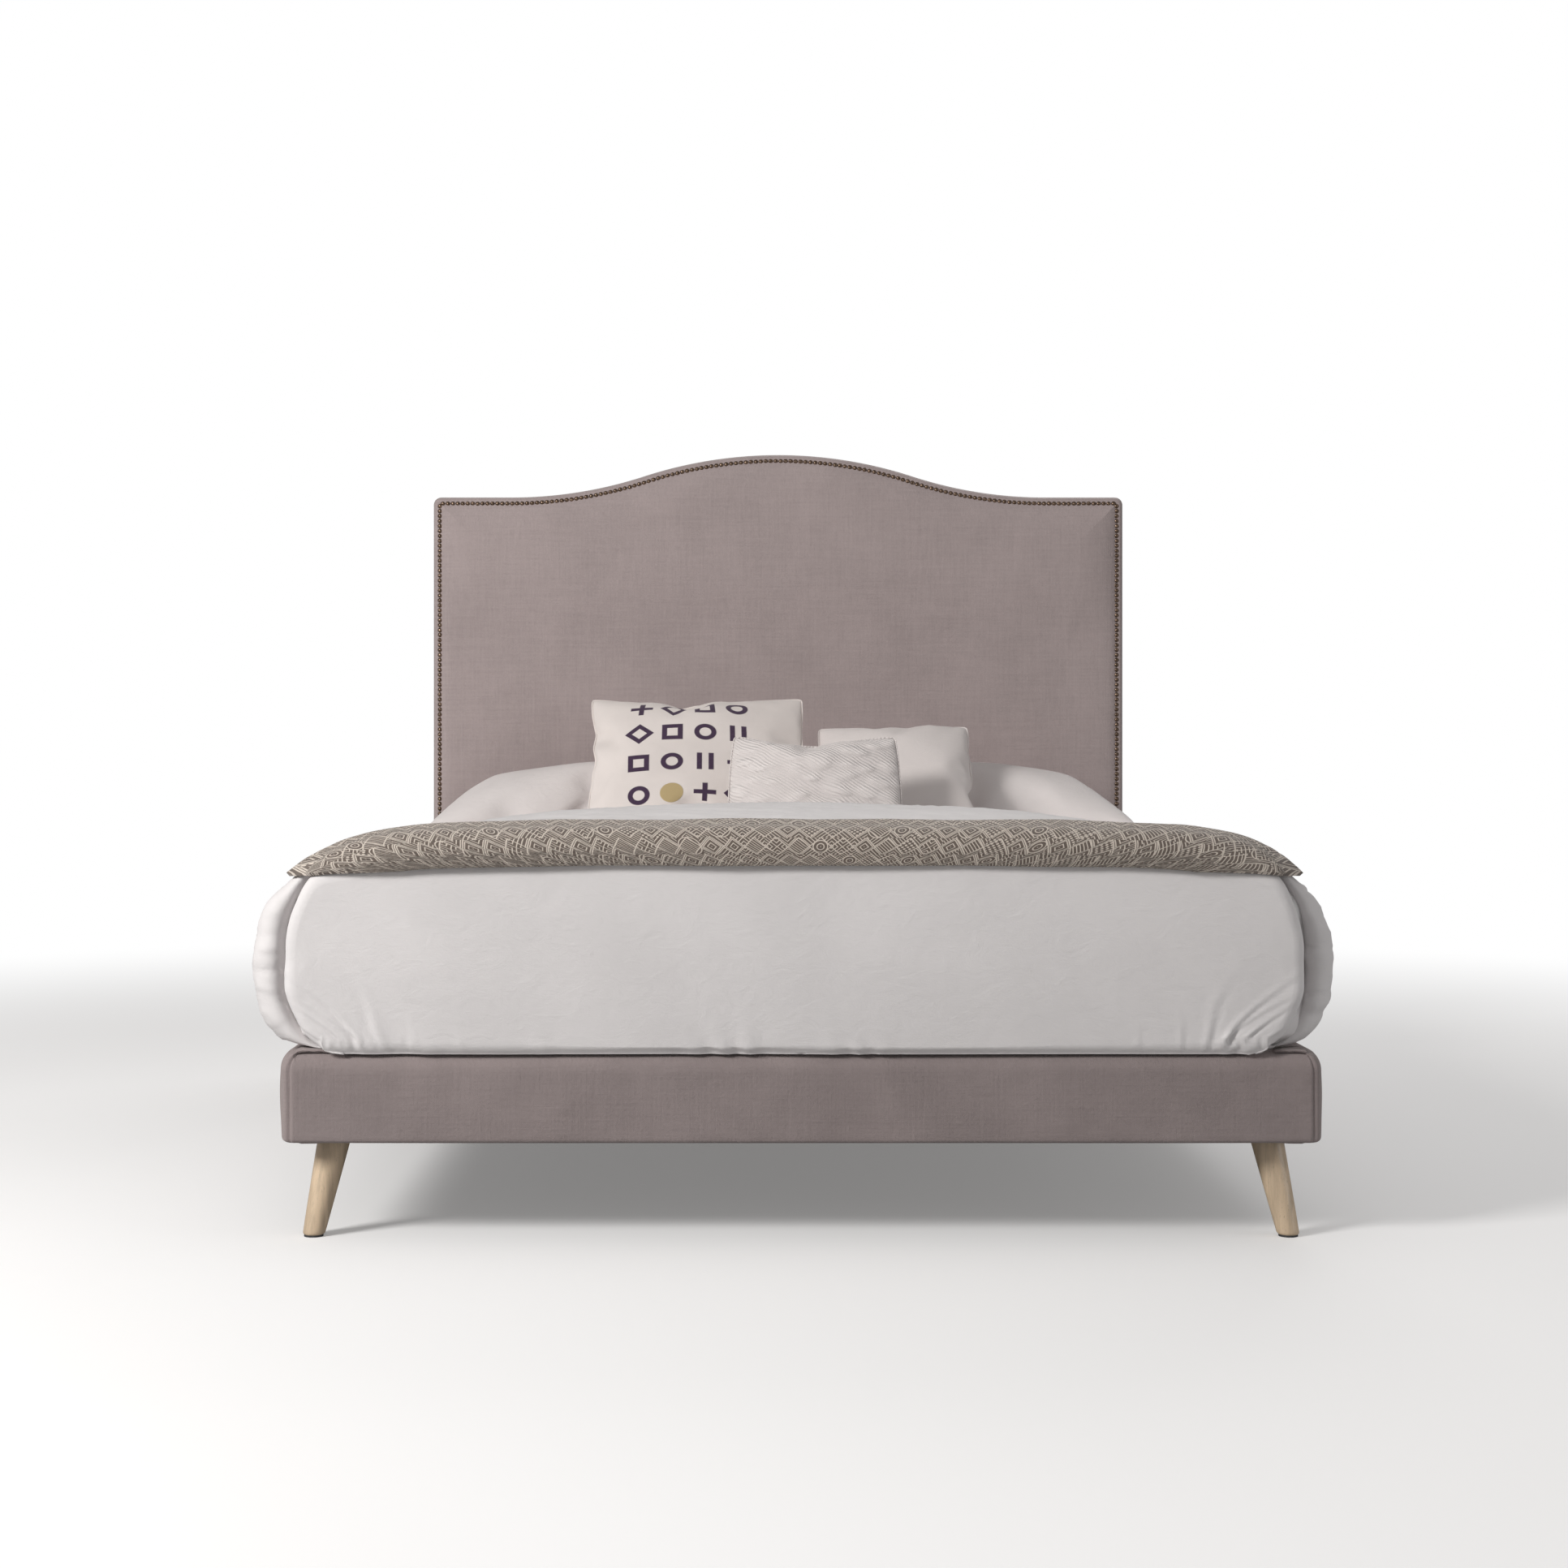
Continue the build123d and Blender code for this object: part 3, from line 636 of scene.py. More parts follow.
def base_upholstery():
    """Rings round the base whose sides swell between corner seams and belly a little."""
    plan, seam = base_plan()
    x, d = plan.T
    outward = unit(points(np.gradient(d), -np.gradient(x)))
    side_panel = smoothstep(0.6, 0.95, np.abs(outward[:, 0]))
    from_corner = np.minimum(d, BASE_LENGTH - d)
    swell = side_panel * SEAM_IN * (1 - np.exp(-from_corner / 0.012))
    face_middle = 1 - np.abs(x) / FRONT_HALF
    swell += (1 - side_panel) * 0.003 * smoothstep(0.0, 0.2, face_middle) * (outward[:, 1] < 0)
    along_side = side_panel * smoothstep(0, 0.1, from_corner)
    grid = []
    for inset, z, side in base_profile():
        height = (z - base_low.z) / (base_high.z - base_low.z)
        belly = 0.0080 + 0.0065 * math.sin(math.pi * min(1, max(0, height)))
        reach = (swell + belly * along_side) * min(1, side * 1.6) - seam * 0.0022 * side - inset
        grid.append(points(x + outward[:, 0] * reach, along(0) + d + outward[:, 1] * reach, z))
    grid = np.array(grid)
    side_rows = np.array([side for _, _, side in base_profile()])[:, None]
    soft = perlin(grid, 0.22, 3) * 0.0016 + perlin(grid, 0.06, 4) * 0.0005
    grid += points(*outward.T, 0)[None] * (soft * side_rows)[..., None]
    piece = face_outward(grid_piece("base_upholstery", grid, wrap=True))
    thicken(piece, 0.0018)
    finish_piece(piece, "bed_frame", base_taupe_painted_shade, ["base_cover"])



base_upholstery()

# ---- Headboard upholstery and nails ----

board_low, board_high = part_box("headboard_cover")
BOARD_HALF = board_high.x
BOARD_CREST = board_high.z
BOARD_RISE = 0.100
BOARD_SIDE = BOARD_CREST - BOARD_RISE
BOARD_SWEEP = 0.630
BOARD_CORNER = 0.016
NAIL_INSET = 0.014
NAIL_COUNT = 338
PAD_ROOM = 0.0088        # how far the pad may stand out where the lifted mattress passes
SWEEP_R = (BOARD_SWEEP**2 + BOARD_RISE**2) / (4 * BOARD_RISE)
SWEEP_ANGLE = math.asin(BOARD_SWEEP / 2 / SWEEP_R)


def board_outline(inset, counts):
    """Camelback outline from the left foot, over the top, to the right foot, as (x, z) points."""
    side, corner, level, sweep = counts
    half = BOARD_HALF - inset
    top = BOARD_SIDE - inset
    r = max(BOARD_CORNER - inset, 0.0012)
    turn = arc(180, 90, corner)
    dip, dip_r = np.linspace(0, SWEEP_ANGLE, sweep), SWEEP_R + inset
    crest, crest_r = np.linspace(-SWEEP_ANGLE, 0, sweep), SWEEP_R - inset
    left = np.vstack([
        points(-half, np.linspace(board_low.z, top - r, side)),
        points(-half + r + r * np.cos(turn), top - r + r * np.sin(turn))[1:],
        points(np.linspace(-half + r, -BOARD_SWEEP, level), top)[1:],
        points(-BOARD_SWEEP + dip_r * np.sin(dip), BOARD_SIDE + SWEEP_R - dip_r * np.cos(dip))[1:],
        points(crest_r * np.sin(crest), BOARD_CREST - SWEEP_R + crest_r * np.cos(crest))[1:],
    ])
    return np.vstack([left, left[::-1][1:] * [-1, 1]])



def nail_spots():
    line = board_outline(NAIL_INSET, (400, 24, 60, 240))
    start = np.argmax(line[:, 1] >= board_low.z + NAIL_INSET)
    return resampled(line[start : len(line) - start], NAIL_COUNT)


def headboard_rows(front, back):
    """Rings of the cover, from the back band to the padded middle: (inset, y, share of the nails' pull)."""
    r = 0.010
    rows = [(0.034, back, 0), (0.020, back, 0), (0.006, back, 0), (0, back - 0.0015, 0)]
    rows += [(-0.0020, back - 0.006, 0), (-0.0025, back - 0.016, 0), (-0.0025, back - 0.026, 0)]
    rows += [(-0.0020, front + 0.014, 0)]
    for a in arc(0, 84, 7):
        rows.append((r - r * math.cos(a) + 0.0002, front + r - r * math.sin(a) + 0.0004, 0))
    rows += [(0.0108, front + 0.0006, 0.5), (0.0124, front + 0.0012, 0.9), (NAIL_INSET, front + 0.0013, 1.0)]
    rows += [(0.0158, front + 0.0010, 0.9), (0.0178, front - 0.0008, 0.5), (0.0205, front - 0.0024, 0.2)]
    rows += [(0.025, front - 0.0050, 0), (0.032, front - 0.0080, 0), (0.042, front - 0.0112, 0)]
    rows += [(0.056, front - 0.0142, 0), (0.075, front - 0.0165, 0), (0.100, front - 0.0178, 0)]
    return rows


def headboard_upholstery():
    """The cover sinks at each nail and swells between the border and the middle."""
    front = board_low.y
    counts = (460, 13, 56, 132)
    nail_line = board_outline(NAIL_INSET, counts)
    nearest = np.full(len(nail_line), 9.0)
    for spot in nail_spots():
        nearest = np.minimum(nearest, np.linalg.norm(nail_line - spot, axis=1))
    at_nail = np.exp(-((nearest / 0.0042) ** 2))
    rings = []
    for inset, y, pull in headboard_rows(front, board_high.y):
        line = board_outline(inset, counts)
        rings.append(points(line[:, 0], y + pull * (at_nail * 0.0006 - (1 - at_nail) * 0.0010), line[:, 1]))
    inner = rings[-1]
    low = board_low.z
    middle = points(inner[:, 0] * 0.02, inner[:, 1], low + 0.02 + (inner[:, 2] - low) * 0.3)
    for share in np.linspace(0, 1, 30)[1:]:
        ring = inner + (middle - inner) * share
        ring[:, 1] -= 0.0015 * math.sin(share * math.pi / 2)
        rings.append(ring)
    grid = np.array(rings)
    # behind the base and the mattress the pad is pressed flat
    proud = np.minimum(0, grid[..., 1] - front)
    free = smoothstep(0.32, 0.72, grid[..., 2])
    grid[..., 1] -= proud * (1 - free) * 0.85
    inside = smoothstep(0.03, 0.12, np.arange(len(rings)) / len(rings) - 0.35)[:, None]
    grid[..., 1] += inside * free * (perlin(grid, 0.30, 21) * 0.0012 + perlin(grid, 0.09, 22) * 0.0004)
    # the mattress is lifted past the lower part, so the pad stays clear of its head end there
    passed = 1 - smoothstep(1.00, 1.16, grid[..., 2])
    swell = np.maximum(front - grid[..., 1], 0)
    grid[..., 1] += (swell - PAD_ROOM * np.tanh(swell / PAD_ROOM)) * passed
    piece = face_outward(grid_piece("headboard_upholstery", grid))
    thicken(piece, 0.0015)
    finish_piece(piece, "bed_frame", taupe, ["headboard_cover"])



def headboard_underside():
    """The cover's lower edge, turned under the panel and stapled, slightly slack between staples."""
    x = np.linspace(-BOARD_HALF + 0.002, BOARD_HALF - 0.002, 260)
    front, back, low = board_low.y, board_high.y, board_low.z
    path = [
        (front - 0.0022, low + 0.012), (front - 0.0022, low + 0.004), (front - 0.0008, low + 0.0004),
        (front + 0.003, low - 0.0008), (front + 0.014, low - 0.0010), (front + 0.026, low - 0.0010),
        (back - 0.012, low - 0.0010), (back - 0.004, low - 0.0008), (back + 0.0012, low + 0.0012),
        (back + 0.0018, low + 0.008),
    ]
    slack = np.abs(np.sin(x * math.pi / 0.045)) * 0.0008
    grid = np.array([points(x, y, z - slack * (z < low + 0.001)) for y, z in path])
    piece = face_outward(grid_piece("headboard_underside", grid))
    thicken(piece, 0.0008)
    finish_piece(piece, "bed_frame", taupe)



def nail_heads():
    """Domed bronze heads with a thin rolled rim, each slightly turned and set by hand."""
    peak = 0.0030
    profile = [(0.0014, 0.0029), (0.0028, 0.0024), (0.0040, 0.0015), (0.0047, 0.0006),
               (0.0052, 0.0002), (0.0054, -0.0004), (0.0050, -0.0010)]
    angle = circle(14)
    sides = len(angle)
    first = np.arange(sides)
    following = (first + 1) % sides
    faces_of_one = [(0, 1 + a, 1 + b) for a, b in zip(first, following)]
    for ring in range(len(profile) - 1):
        a = 1 + ring * sides
        faces_of_one += [(a + k, a + sides + k, a + sides + n, a + n) for k, n in zip(first, following)]
    faces_of_one.append(tuple(1 + (len(profile) - 1) * sides + first))
    random = np.random.default_rng(8)
    vertices, faces = [], []
    for x, z in nail_spots():
        faces += [tuple(int(len(vertices) + k) for k in face) for face in faces_of_one]
        tip = random.normal(0, 0.06, 2)
        size = 1 + random.normal(0, 0.02)
        vertices.append((x, board_low.y - peak * size, z))
        for r, rise in profile:
            dx, dz = r * size * np.cos(angle), r * size * np.sin(angle)
            vertices += list(points(x + dx, board_low.y - rise * size + tip[0] * dx + tip[1] * dz, z + dz))
    piece = face_outward(mesh_piece("nail_heads", vertices, faces))
    finish_piece(piece, "bed_frame", bronze_material(), ["nail_trim"])



headboard_upholstery()
headboard_underside()
nail_heads()

# ---- Legs ----

LEG_FOOT_R = 0.017
LEG_TOP_R = 0.026


def turned_leg(node, side, towards):
    """A tapered leg with a slight swell, eased edges and a shoulder under the base."""
    low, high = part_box(node)

    def leaning(least, most, way):
        """Where the middle of the leg's foot and of its top lie in the box it leans across."""
        foot_top = np.array([least + LEG_FOOT_R, most - LEG_TOP_R])
        return foot_top if way < 0 else least + most - foot_top

    foot_x, top_x = leaning(low.x, high.x, side) if side else (0, 0)
    foot_y, top_y = leaning(low.y, high.y, towards) if side else [(low.y + high.y) / 2] * 2
    angle = circle(40)
    rings = []
    for t in [0.0, 0.003, 0.010, 0.022, *np.linspace(0.05, 0.95, 26), 0.975, 0.988, 0.996, 1.0]:
        r = LEG_FOOT_R + (LEG_TOP_R - LEG_FOOT_R) * t**0.92
        r -= 0.0022 * max(0, 1 - t / 0.022) ** 2 + 0.0012 * max(0, (t - 0.985) / 0.015) ** 2
        x, y, z = foot_x + (top_x - foot_x) * t, foot_y + (top_y - foot_y) * t, low.z + (high.z - low.z) * t
        rings.append(points(x + r * np.cos(angle), y + r * np.sin(angle), z))
    lean = Vector((top_x - foot_x, top_y - foot_y, high.z - low.z))
    turn = Vector((0, 0, 1)).rotation_difference(lean).inverted().to_euler()
    name = node.replace("leg_", "turned_leg_")
    piece = face_outward(grid_piece(name, np.array(rings), wrap=True, close_ends=True))
    finish_piece(piece, "bed_frame", beech_material("beech_" + node, turn), [node])



for end, towards in (("foot", -1), ("head", 1)):
    for name, side in (("left", -1), ("right", 1)):
        turned_leg(f"leg_{end}_{name}", side, towards)
turned_leg("leg_centre", 0, 0)

# ---- Fitted sheet ----


def fitted_sheet():
    """Percale pulled over the mattress, with slight drag lines and gathers at the corners."""
    low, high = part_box("fitted_sheet")
    half, corner_r, edge_r = high.x, 0.083, 0.050
    x, near, far = half - corner_r, low.y + corner_r, high.y - corner_r
    ring = []
    for cx, cy, start in ((x, near, -90), (x, far, 0), (-x, far, 90), (-x, near, 180)):
        turn = arc(start, start + 90, 22)
        ring.append(points(cx + corner_r * np.cos(turn), cy + corner_r * np.sin(turn)))
    plan = resampled(np.vstack(ring + [ring[0][:1]]), 560)[:-1]
    ahead = np.roll(plan, -1, 0) - np.roll(plan, 1, 0)
    outward = unit(points(ahead[:, 1], -ahead[:, 0]))
    rows = [(0.010, low.z), (0.003, low.z + 0.010), (0.0, low.z + 0.025)]
    rows += [(0.0, z) for z in np.linspace(low.z + 0.04, high.z - 0.055, 14)]
    rows += [(edge_r * (1 - math.sin(a)), high.z - edge_r * (1 - math.cos(a))) for a in arc(90, 0, 10)]
    grid = [points(*(plan - outward * inset).T, z) for inset, z in rows]
    edge = grid[-1]
    centre = np.array([0, (low.y + high.y) / 2, high.z])
    target = centre + (edge - centre) * [0.02, 0.25, 1]
    grid += [edge + (target - edge) * share for share in np.linspace(0, 1, 40)[1:]]
    grid = np.array(grid)
    from_end = np.minimum(grid[..., 1] - low.y, high.y - grid[..., 1])
    corner = np.exp(-((half - np.abs(grid[..., 0])) ** 2 + from_end**2) / 0.16**2)
    drop = smoothstep(high.z - 0.02, low.z, grid[..., 2])
    around = np.arctan2(grid[..., 1], grid[..., 0] * 1.25)
    gathers = np.sin(around * 260 + 3 * perlin(grid, 0.1, 31)) * corner * drop * 0.0012
    pull = crumple(grid * [1, 1, 0.5], 0.16, 32) * 0.0012 + perlin(grid, 0.35, 33) * 0.0010
    normal = normals_of(grid)
    if normal[10, 0] @ np.array([*outward[0], 0]) < 0:
        normal = -normal
    grid = grid + normal * (gathers + pull - 0.0010)[..., None]
    grid[..., 2] = np.minimum(grid[..., 2], high.z + 0.0015)
    piece = face_outward(grid_piece("percale_sheet", grid, wrap=True))
    thicken(piece, 0.0006)
    finish_piece(piece, "mattress_set", white, ["fitted_sheet"])



fitted_sheet()

# ---- Duvet ----

TOP_COUNT, SIDE_COUNT = 92, 104
# half outlines in (x, z): the flat top to the shoulder, then the side down to the tuck
FRONT_TOP = [(0, 0.626), (0.20, 0.626), (0.40, 0.6245), (0.54, 0.621), (0.62, 0.6155)]
FRONT_SIDE = [(0.670, 0.606), (0.715, 0.588), (0.758, 0.551), (0.786, 0.492), (0.794, 0.425),
              (0.787, 0.362), (0.763, 0.318), (0.732, 0.293), (0.700, 0.2870)]
FLAP_TOP = [(0, 0.636), (0.20, 0.636), (0.42, 0.634), (0.54, 0.630), (0.62, 0.624)]
FLAP_SIDE = [(0.70, 0.607), (0.765, 0.574), (0.815, 0.532), (0.845, 0.484), (0.855, 0.425),
             (0.848, 0.362), (0.830, 0.322), (0.802, 0.2995), (0.772, 0.2945), (0.735, 0.2935)]
INNER_TOP = [(0, 0.556), (0.2, 0.556), (0.4, 0.556), (0.66, 0.556)]
INNER_SIDE = [(0.735, 0.554), (0.780, 0.535), (0.796, 0.495), (0.797, 0.425),
              (0.796, 0.362), (0.791, 0.325), (0.780, 0.306), (0.762, 0.2965), (0.735, 0.2937)]


def whole_outline(top, side):
    """Mirrors a half outline: from the left tuck, over the top, to the right tuck."""
    fine = curve_through(top + side, 3000)
    join = int(np.argmin(np.linalg.norm(fine - np.array(top[-1]), axis=1)))
    half = np.vstack([resampled(fine[: join + 1], TOP_COUNT), resampled(fine[join:], SIDE_COUNT)[1:]])
    return np.vstack([half[::-1] * [-1, 1], half[1:]])


front_line = whole_outline(FRONT_TOP, FRONT_SIDE)
flap_line = whole_outline(FLAP_TOP, FLAP_SIDE)
inner_line = whole_outline(INNER_TOP, INNER_SIDE)
TOP_ROUND = 0.046        # rounding of the foot face into the top
SIDE_ROUND = 0.020       # rounding of the foot face into its sides
tuck_z = front_line[0, 1]
side_share = smoothstep(0.605, 0.550, front_line[:, 1])
edge_round = TOP_ROUND + (SIDE_ROUND - TOP_ROUND) * side_share


def along_outward(line):
    ahead = np.gradient(line, axis=0)
    outward = points(-ahead[:, 1], ahead[:, 0])
    return outward / np.linalg.norm(outward, axis=1, keepdims=True)


def drawn_in(line, inset):
    """An outline drawn in by a distance, but left alone at the tuck under the mattress."""
    inset = inset * smoothstep(0.2915, 0.300, line[:, 1])
    return line - along_outward(line) * inset[:, None]


face_core = drawn_in(front_line, edge_round)


def crest(d, x):
    """How the duvet's top lies along and across the bed: pressed down under the throw, domed behind it."""
    pressed = 0.026 * smoothstep(0.02, 0.30, d) + 0.005 * smoothstep(0.95, 1.15, d)
    dome = 1 - np.abs(x / 0.70) ** 2.2
    return smoothstep(0.40, 0.80, d) * (0.038 * dome - 0.004) - pressed


def face_roll():
    """The rounded edge of the foot face, from its flat part out to the sides and the top."""
    lines = []
    for a in arc(0, 90, 11):
        line = face_core + (front_line - face_core) * math.sin(a)
        curl = 0.008 * smoothstep(0.012, 0.0, line[:, 1] - tuck_z) * math.cos(a)
        lines.append((line, FACE_D + edge_round * (1 - math.cos(a)) + curl))
    return lines


FACE_D = -0.008
# the lip of the side flap: (share of the way out from face edge to flap, inset, place along the bed)
LIP = [(0, 0.004, 0.018), (0, 0.014, 0.026), (0, 0.026, 0.038), (0, 0.034, 0.056), (0, 0.034, 0.076),
       (0, 0.020, 0.090), (0, 0.004, 0.092), (0.08, 0, 0.078), (0.11, 0, 0.060), (0.15, 0, 0.044),
       (0.24, 0, 0.033), (0.40, 0, 0.029), (0.60, 0, 0.033), (0.80, 0, 0.046), (0.93, 0, 0.064),
       (1.0, 0, 0.090)]
LIP_END = 0.090
DUVET_END = 1.150


def duvet_stations():
    """Lines of the duvet's surface from the middle of its foot face to its head fold."""
    lines = []
    centre = np.array([0, tuck_z])
    for t in np.linspace(0.0005, 1, 112):
        share = 1 - (1 - t) ** 1.4
        line = centre + (face_core - centre) * share
        height = (line[:, 1] - tuck_z) / (face_core[:, 1].max() - tuck_z)
        belly = 0.006 * np.sin(np.clip(height, 0, 1) * math.pi) * (1 - (line[:, 0] / 0.80) ** 2)
        curl = 0.008 * smoothstep(0.012, 0.0, line[:, 1] - tuck_z)
        lines.append((line, FACE_D - belly + curl))
    lines += face_roll()[1:]
    start = FACE_D + TOP_ROUND
    for step, (out, inset, d) in enumerate(LIP, 1):
        line = drawn_in(front_line, np.full(len(front_line), inset) * side_share)
        share = out * side_share + (1 - side_share) * step / len(LIP)
        line = line + (flap_line - front_line) * share[:, None]
        level = start + (LIP_END - start) * step / len(LIP)
        lines.append((line, level + (d - level) * side_share))
    lines += [(flap_line, d) for d in np.arange(LIP_END + 0.008, DUVET_END - 0.002, 0.0085)]
    middle, half = (flap_line + inner_line) / 2, (flap_line - inner_line) / 2
    for a in arc(0, 180, 17)[1:]:
        lines.append((middle + half * math.cos(a), DUVET_END + 0.040 * math.sin(a)))
    return lines + [(inner_line, DUVET_END - back) for back in (0.03, 0.07, 0.12)]


def duvet_surface(lines):
    grid = np.array([points(line[:, 0], along(0) + d, line[:, 1]) for line, d in lines])
    d = grid[..., 1] - along(0)
    grid[..., 2] += crest(d, grid[..., 0]) * smoothstep(0.50, 0.60, grid[..., 2])
    normal = normals_of(grid)
    top = normal[len(lines) // 2, grid.shape[1] // 2]
    if top[2] < 0:
        normal = -normal
    return grid, normal


def duvet_wrinkles(grid):
    """How far each point of the duvet stands proud of its smooth form."""
    x, d, z = grid[..., 0], grid[..., 1] - along(0), grid[..., 2]
    side = np.abs(x)
    on_front = smoothstep(0.02, -0.002, d)
    on_flap = smoothstep(0.60, 0.55, z) * smoothstep(0.797, 0.806, side)
    on_top = smoothstep(0.03, 0.10, d) * smoothstep(0.57, 0.60, z)
    out = perlin(grid, 0.30, 41) * 0.0030 * (1 - on_front) + perlin(grid, 0.34, 42) * 0.0022 * on_front
    out += on_front * perlin(grid, 0.11, 54) * 0.0005
    # small pressed creases behind the throw, running aslant
    slant = grid @ np.array([[0.5, 0.6, 0], [-0.25, 1.5, 0], [0, 0, 1]])
    creases = crumple(slant, 0.11, 43) * 0.0050 + crumple(grid, 0.05, 44) * 0.0014
    out += on_top * smoothstep(0.45, 0.6, d) * creases
    # gathers where the flap is drawn in at the foot corner, fading along the side
    gather = points(np.sign(x), d * 0.35, z)
    from_gather = np.maximum(0, d - 0.035)
    level = z / 0.050 + perlin(gather, 0.07, 45) + (x > 0) * 0.37 + (side - 0.80) * 3
    puff = np.abs(np.sin(level * math.pi)) ** 0.7
    deep = 0.65 + 0.5 * perlin(gather, 0.11, 49)
    out += on_flap * np.exp(-from_gather / 0.060) * (puff - 0.80) * (0.0046 + 0.0070 * (x > 0)) * deep
    creases = crumple(gather * [1, 1.6, 1], 0.085, 57) * 0.0075 - 0.002
    out += on_flap * np.exp(-from_gather / 0.090) * creases
    # small nicks down the side edges of the foot face
    edge = smoothstep(0.755, 0.785, side) * smoothstep(0.60, 0.55, z) * smoothstep(0.03, 0.015, d)
    out += edge * (1 - on_flap) * (perlin(gather, 0.045, 56) * 0.0030 - 0.0008)
    # looser folds further along the side
    fold = crumple(grid * [1, 1, 0.45], 0.20, 46) * 0.0125 + perlin(grid * [1, 1, 0.30], 0.085, 47) * 0.0050
    out += on_flap * smoothstep(0.08, 0.25, d) * (fold - 0.003)
    # puckers above the tuck
    tuck = np.exp(-np.maximum(0, z - 0.297) / 0.018)
    beat = np.where(on_front > 0.5, x, d)
    ripple = np.sin(beat * 95 + 7 * perlin(grid, 0.13, 48))
    here = smoothstep(-0.1, 0.5, perlin(grid * [1, 1, 0], 0.18, 55))
    out += tuck * (0.7 + 0.3 * (1 - on_front)) * ripple * here * 0.0030
    # drag lines up from the two lower corners of the foot face
    up = np.maximum(0, z - 0.292)
    for hx, lean, width, depth, reach in (
        (0.662, 0.70, 0.0050, 0.0030, 0.080), (0.688, 0.95, 0.0048, 0.0028, 0.050),
        (0.632, 0.30, 0.0060, 0.0020, 0.080), (0.712, 1.30, 0.0045, 0.0022, 0.035),
        (0.600, -0.15, 0.0050, 0.0013, 0.040), (0.645, 1.25, 0.0050, 0.0020, 0.060),
        (0.676, 0.20, 0.0045, 0.0020, 0.028), (0.520, 0.05, 0.0050, 0.0010, 0.030),
    ):
        hx = hx - (x > 0) * 0.012
        line = hx + lean * up * (1 + 0.4 * up / 0.1) + 0.005 * np.sin(up * 45 + hx * 60 + (x > 0) * 1.7)
        spread = width * (1 + up * 7)
        fade = np.exp(-((up / reach) ** 2)) * smoothstep(0.0, 0.006, up)
        out += on_front * fade * depth * np.exp(-(((side - line) / spread) ** 2))
        out -= on_front * fade * depth * 0.9 * np.exp(-(((side - line - spread * 1.5) / (spread * 0.8)) ** 2))
    return out


def settled(grid):
    """The made-up bed isn't quite even: the right side hangs a little closer to the mattress."""
    grid = grid.copy()
    near_foot = 1 - 0.6 * smoothstep(0.2, 0.6, grid[..., 1] - along(0))
    right, hanging = smoothstep(0.45, 0.78, grid[..., 0]), smoothstep(0.63, 0.56, grid[..., 2])
    grid[..., 0] -= 0.022 * near_foot * right * hanging
    return grid


def duvet():
    lines = duvet_stations()
    grid, normal = duvet_surface(lines)
    hidden = np.array([1.0] * (len(lines) - 8) + [0.6, 0.3, 0.1, 0, 0, 0, 0, 0])[:, None]
    swell = duvet_wrinkles(grid) * hidden
    grid = settled(grid + normal * swell[..., None])
    # the hem lies on the base, down over the rounding of its foot edge
    over_edge = np.clip(BASE_TOP_ROUND - (grid[..., 1] - along(0)), 0, BASE_TOP_ROUND)
    rest = DECK - BASE_TOP_ROUND + np.sqrt(BASE_TOP_ROUND**2 - over_edge**2)
    grid[..., 2] = np.maximum(grid[..., 2], rest + 0.0024)
    piece = face_outward(grid_piece("duvet_cover", grid))
    thicken(piece, 0.002)
    finish_piece(piece, "mattress_set", duvet_white, ["duvet"])


duvet()

# ---- Throw ----

THROW_GAP = 0.0030
THROW_THICK = 0.0075
THROW_FRONT_DROP = 0.004
THROW_BACK = 0.505


def cut_at(row, level, count):
    """The part of a line of points that lies above a height, evenly spaced."""
    above = np.where(row[:, 2] > level)[0]
    first, last = above[0], above[-1]
    ends = []
    for inner, outer in ((first, first - 1), (last, last + 1)):
        share = (row[inner, 2] - level) / max(1e-6, row[inner, 2] - row[outer, 2])
        ends.append(row[inner] + (row[outer] - row[inner]) * share)
    return resampled(np.vstack([ends[0][None], row[first : last + 1], ends[1][None]]), count)


def throw():
    """A jacquard throw over the foot of the duvet, turned down over the foot edge."""
    lines = []
    for drop in np.linspace(THROW_FRONT_DROP, 0, 4)[:-1]:
        lines.append((face_core - [0, drop], FACE_D))
    lines += face_roll()
    start = FACE_D + edge_round
    for d in np.arange(FACE_D + TOP_ROUND + 0.008, THROW_BACK, 0.008):
        share = smoothstep(start, start + 0.035, d)
        lines.append((front_line + (flap_line - front_line) * share[:, None], np.maximum(d, start)))
    grid, normal = duvet_surface(lines)
    lift = THROW_GAP + THROW_THICK + np.maximum(duvet_wrinkles(grid), 0) * 0.7
    lift += perlin(grid, 0.16, 51) * 0.0018 + perlin(grid, 0.05, 52) * 0.0007
    grid = settled(grid + normal * lift[..., None])
    rows = np.linspace(0, 1, len(grid))
    levels = 0.566 - 0.004 * smoothstep(0.04, 0.22, rows)
    grid = np.array([cut_at(row, level, 360) for row, level in zip(grid, levels)])
    # the hem and the far edge aren't quite straight
    sway = perlin(points(grid[..., 0], 0, 0), 0.22, 53) * 0.006
    rows = rows[:, None]
    grid[..., 2] += sway * 0.5 * smoothstep(0.08, 0.0, rows)
    grid[..., 1] += sway * smoothstep(0.7, 1.0, rows)
    piece = face_outward(grid_piece("woven_throw", grid))
    flat = [loop.uv[:] for loop in piece.data.uv_layers["flat"].data]
    width, length = (max(place[k] for place in flat) for k in (0, 1))
    thicken(piece, THROW_THICK)
    ease_edges(piece, 0.002, 2)
    finish_piece(piece, "throw_body", throw_material(length), ["throw"])


throw()

# ---- Pillows and cushions ----


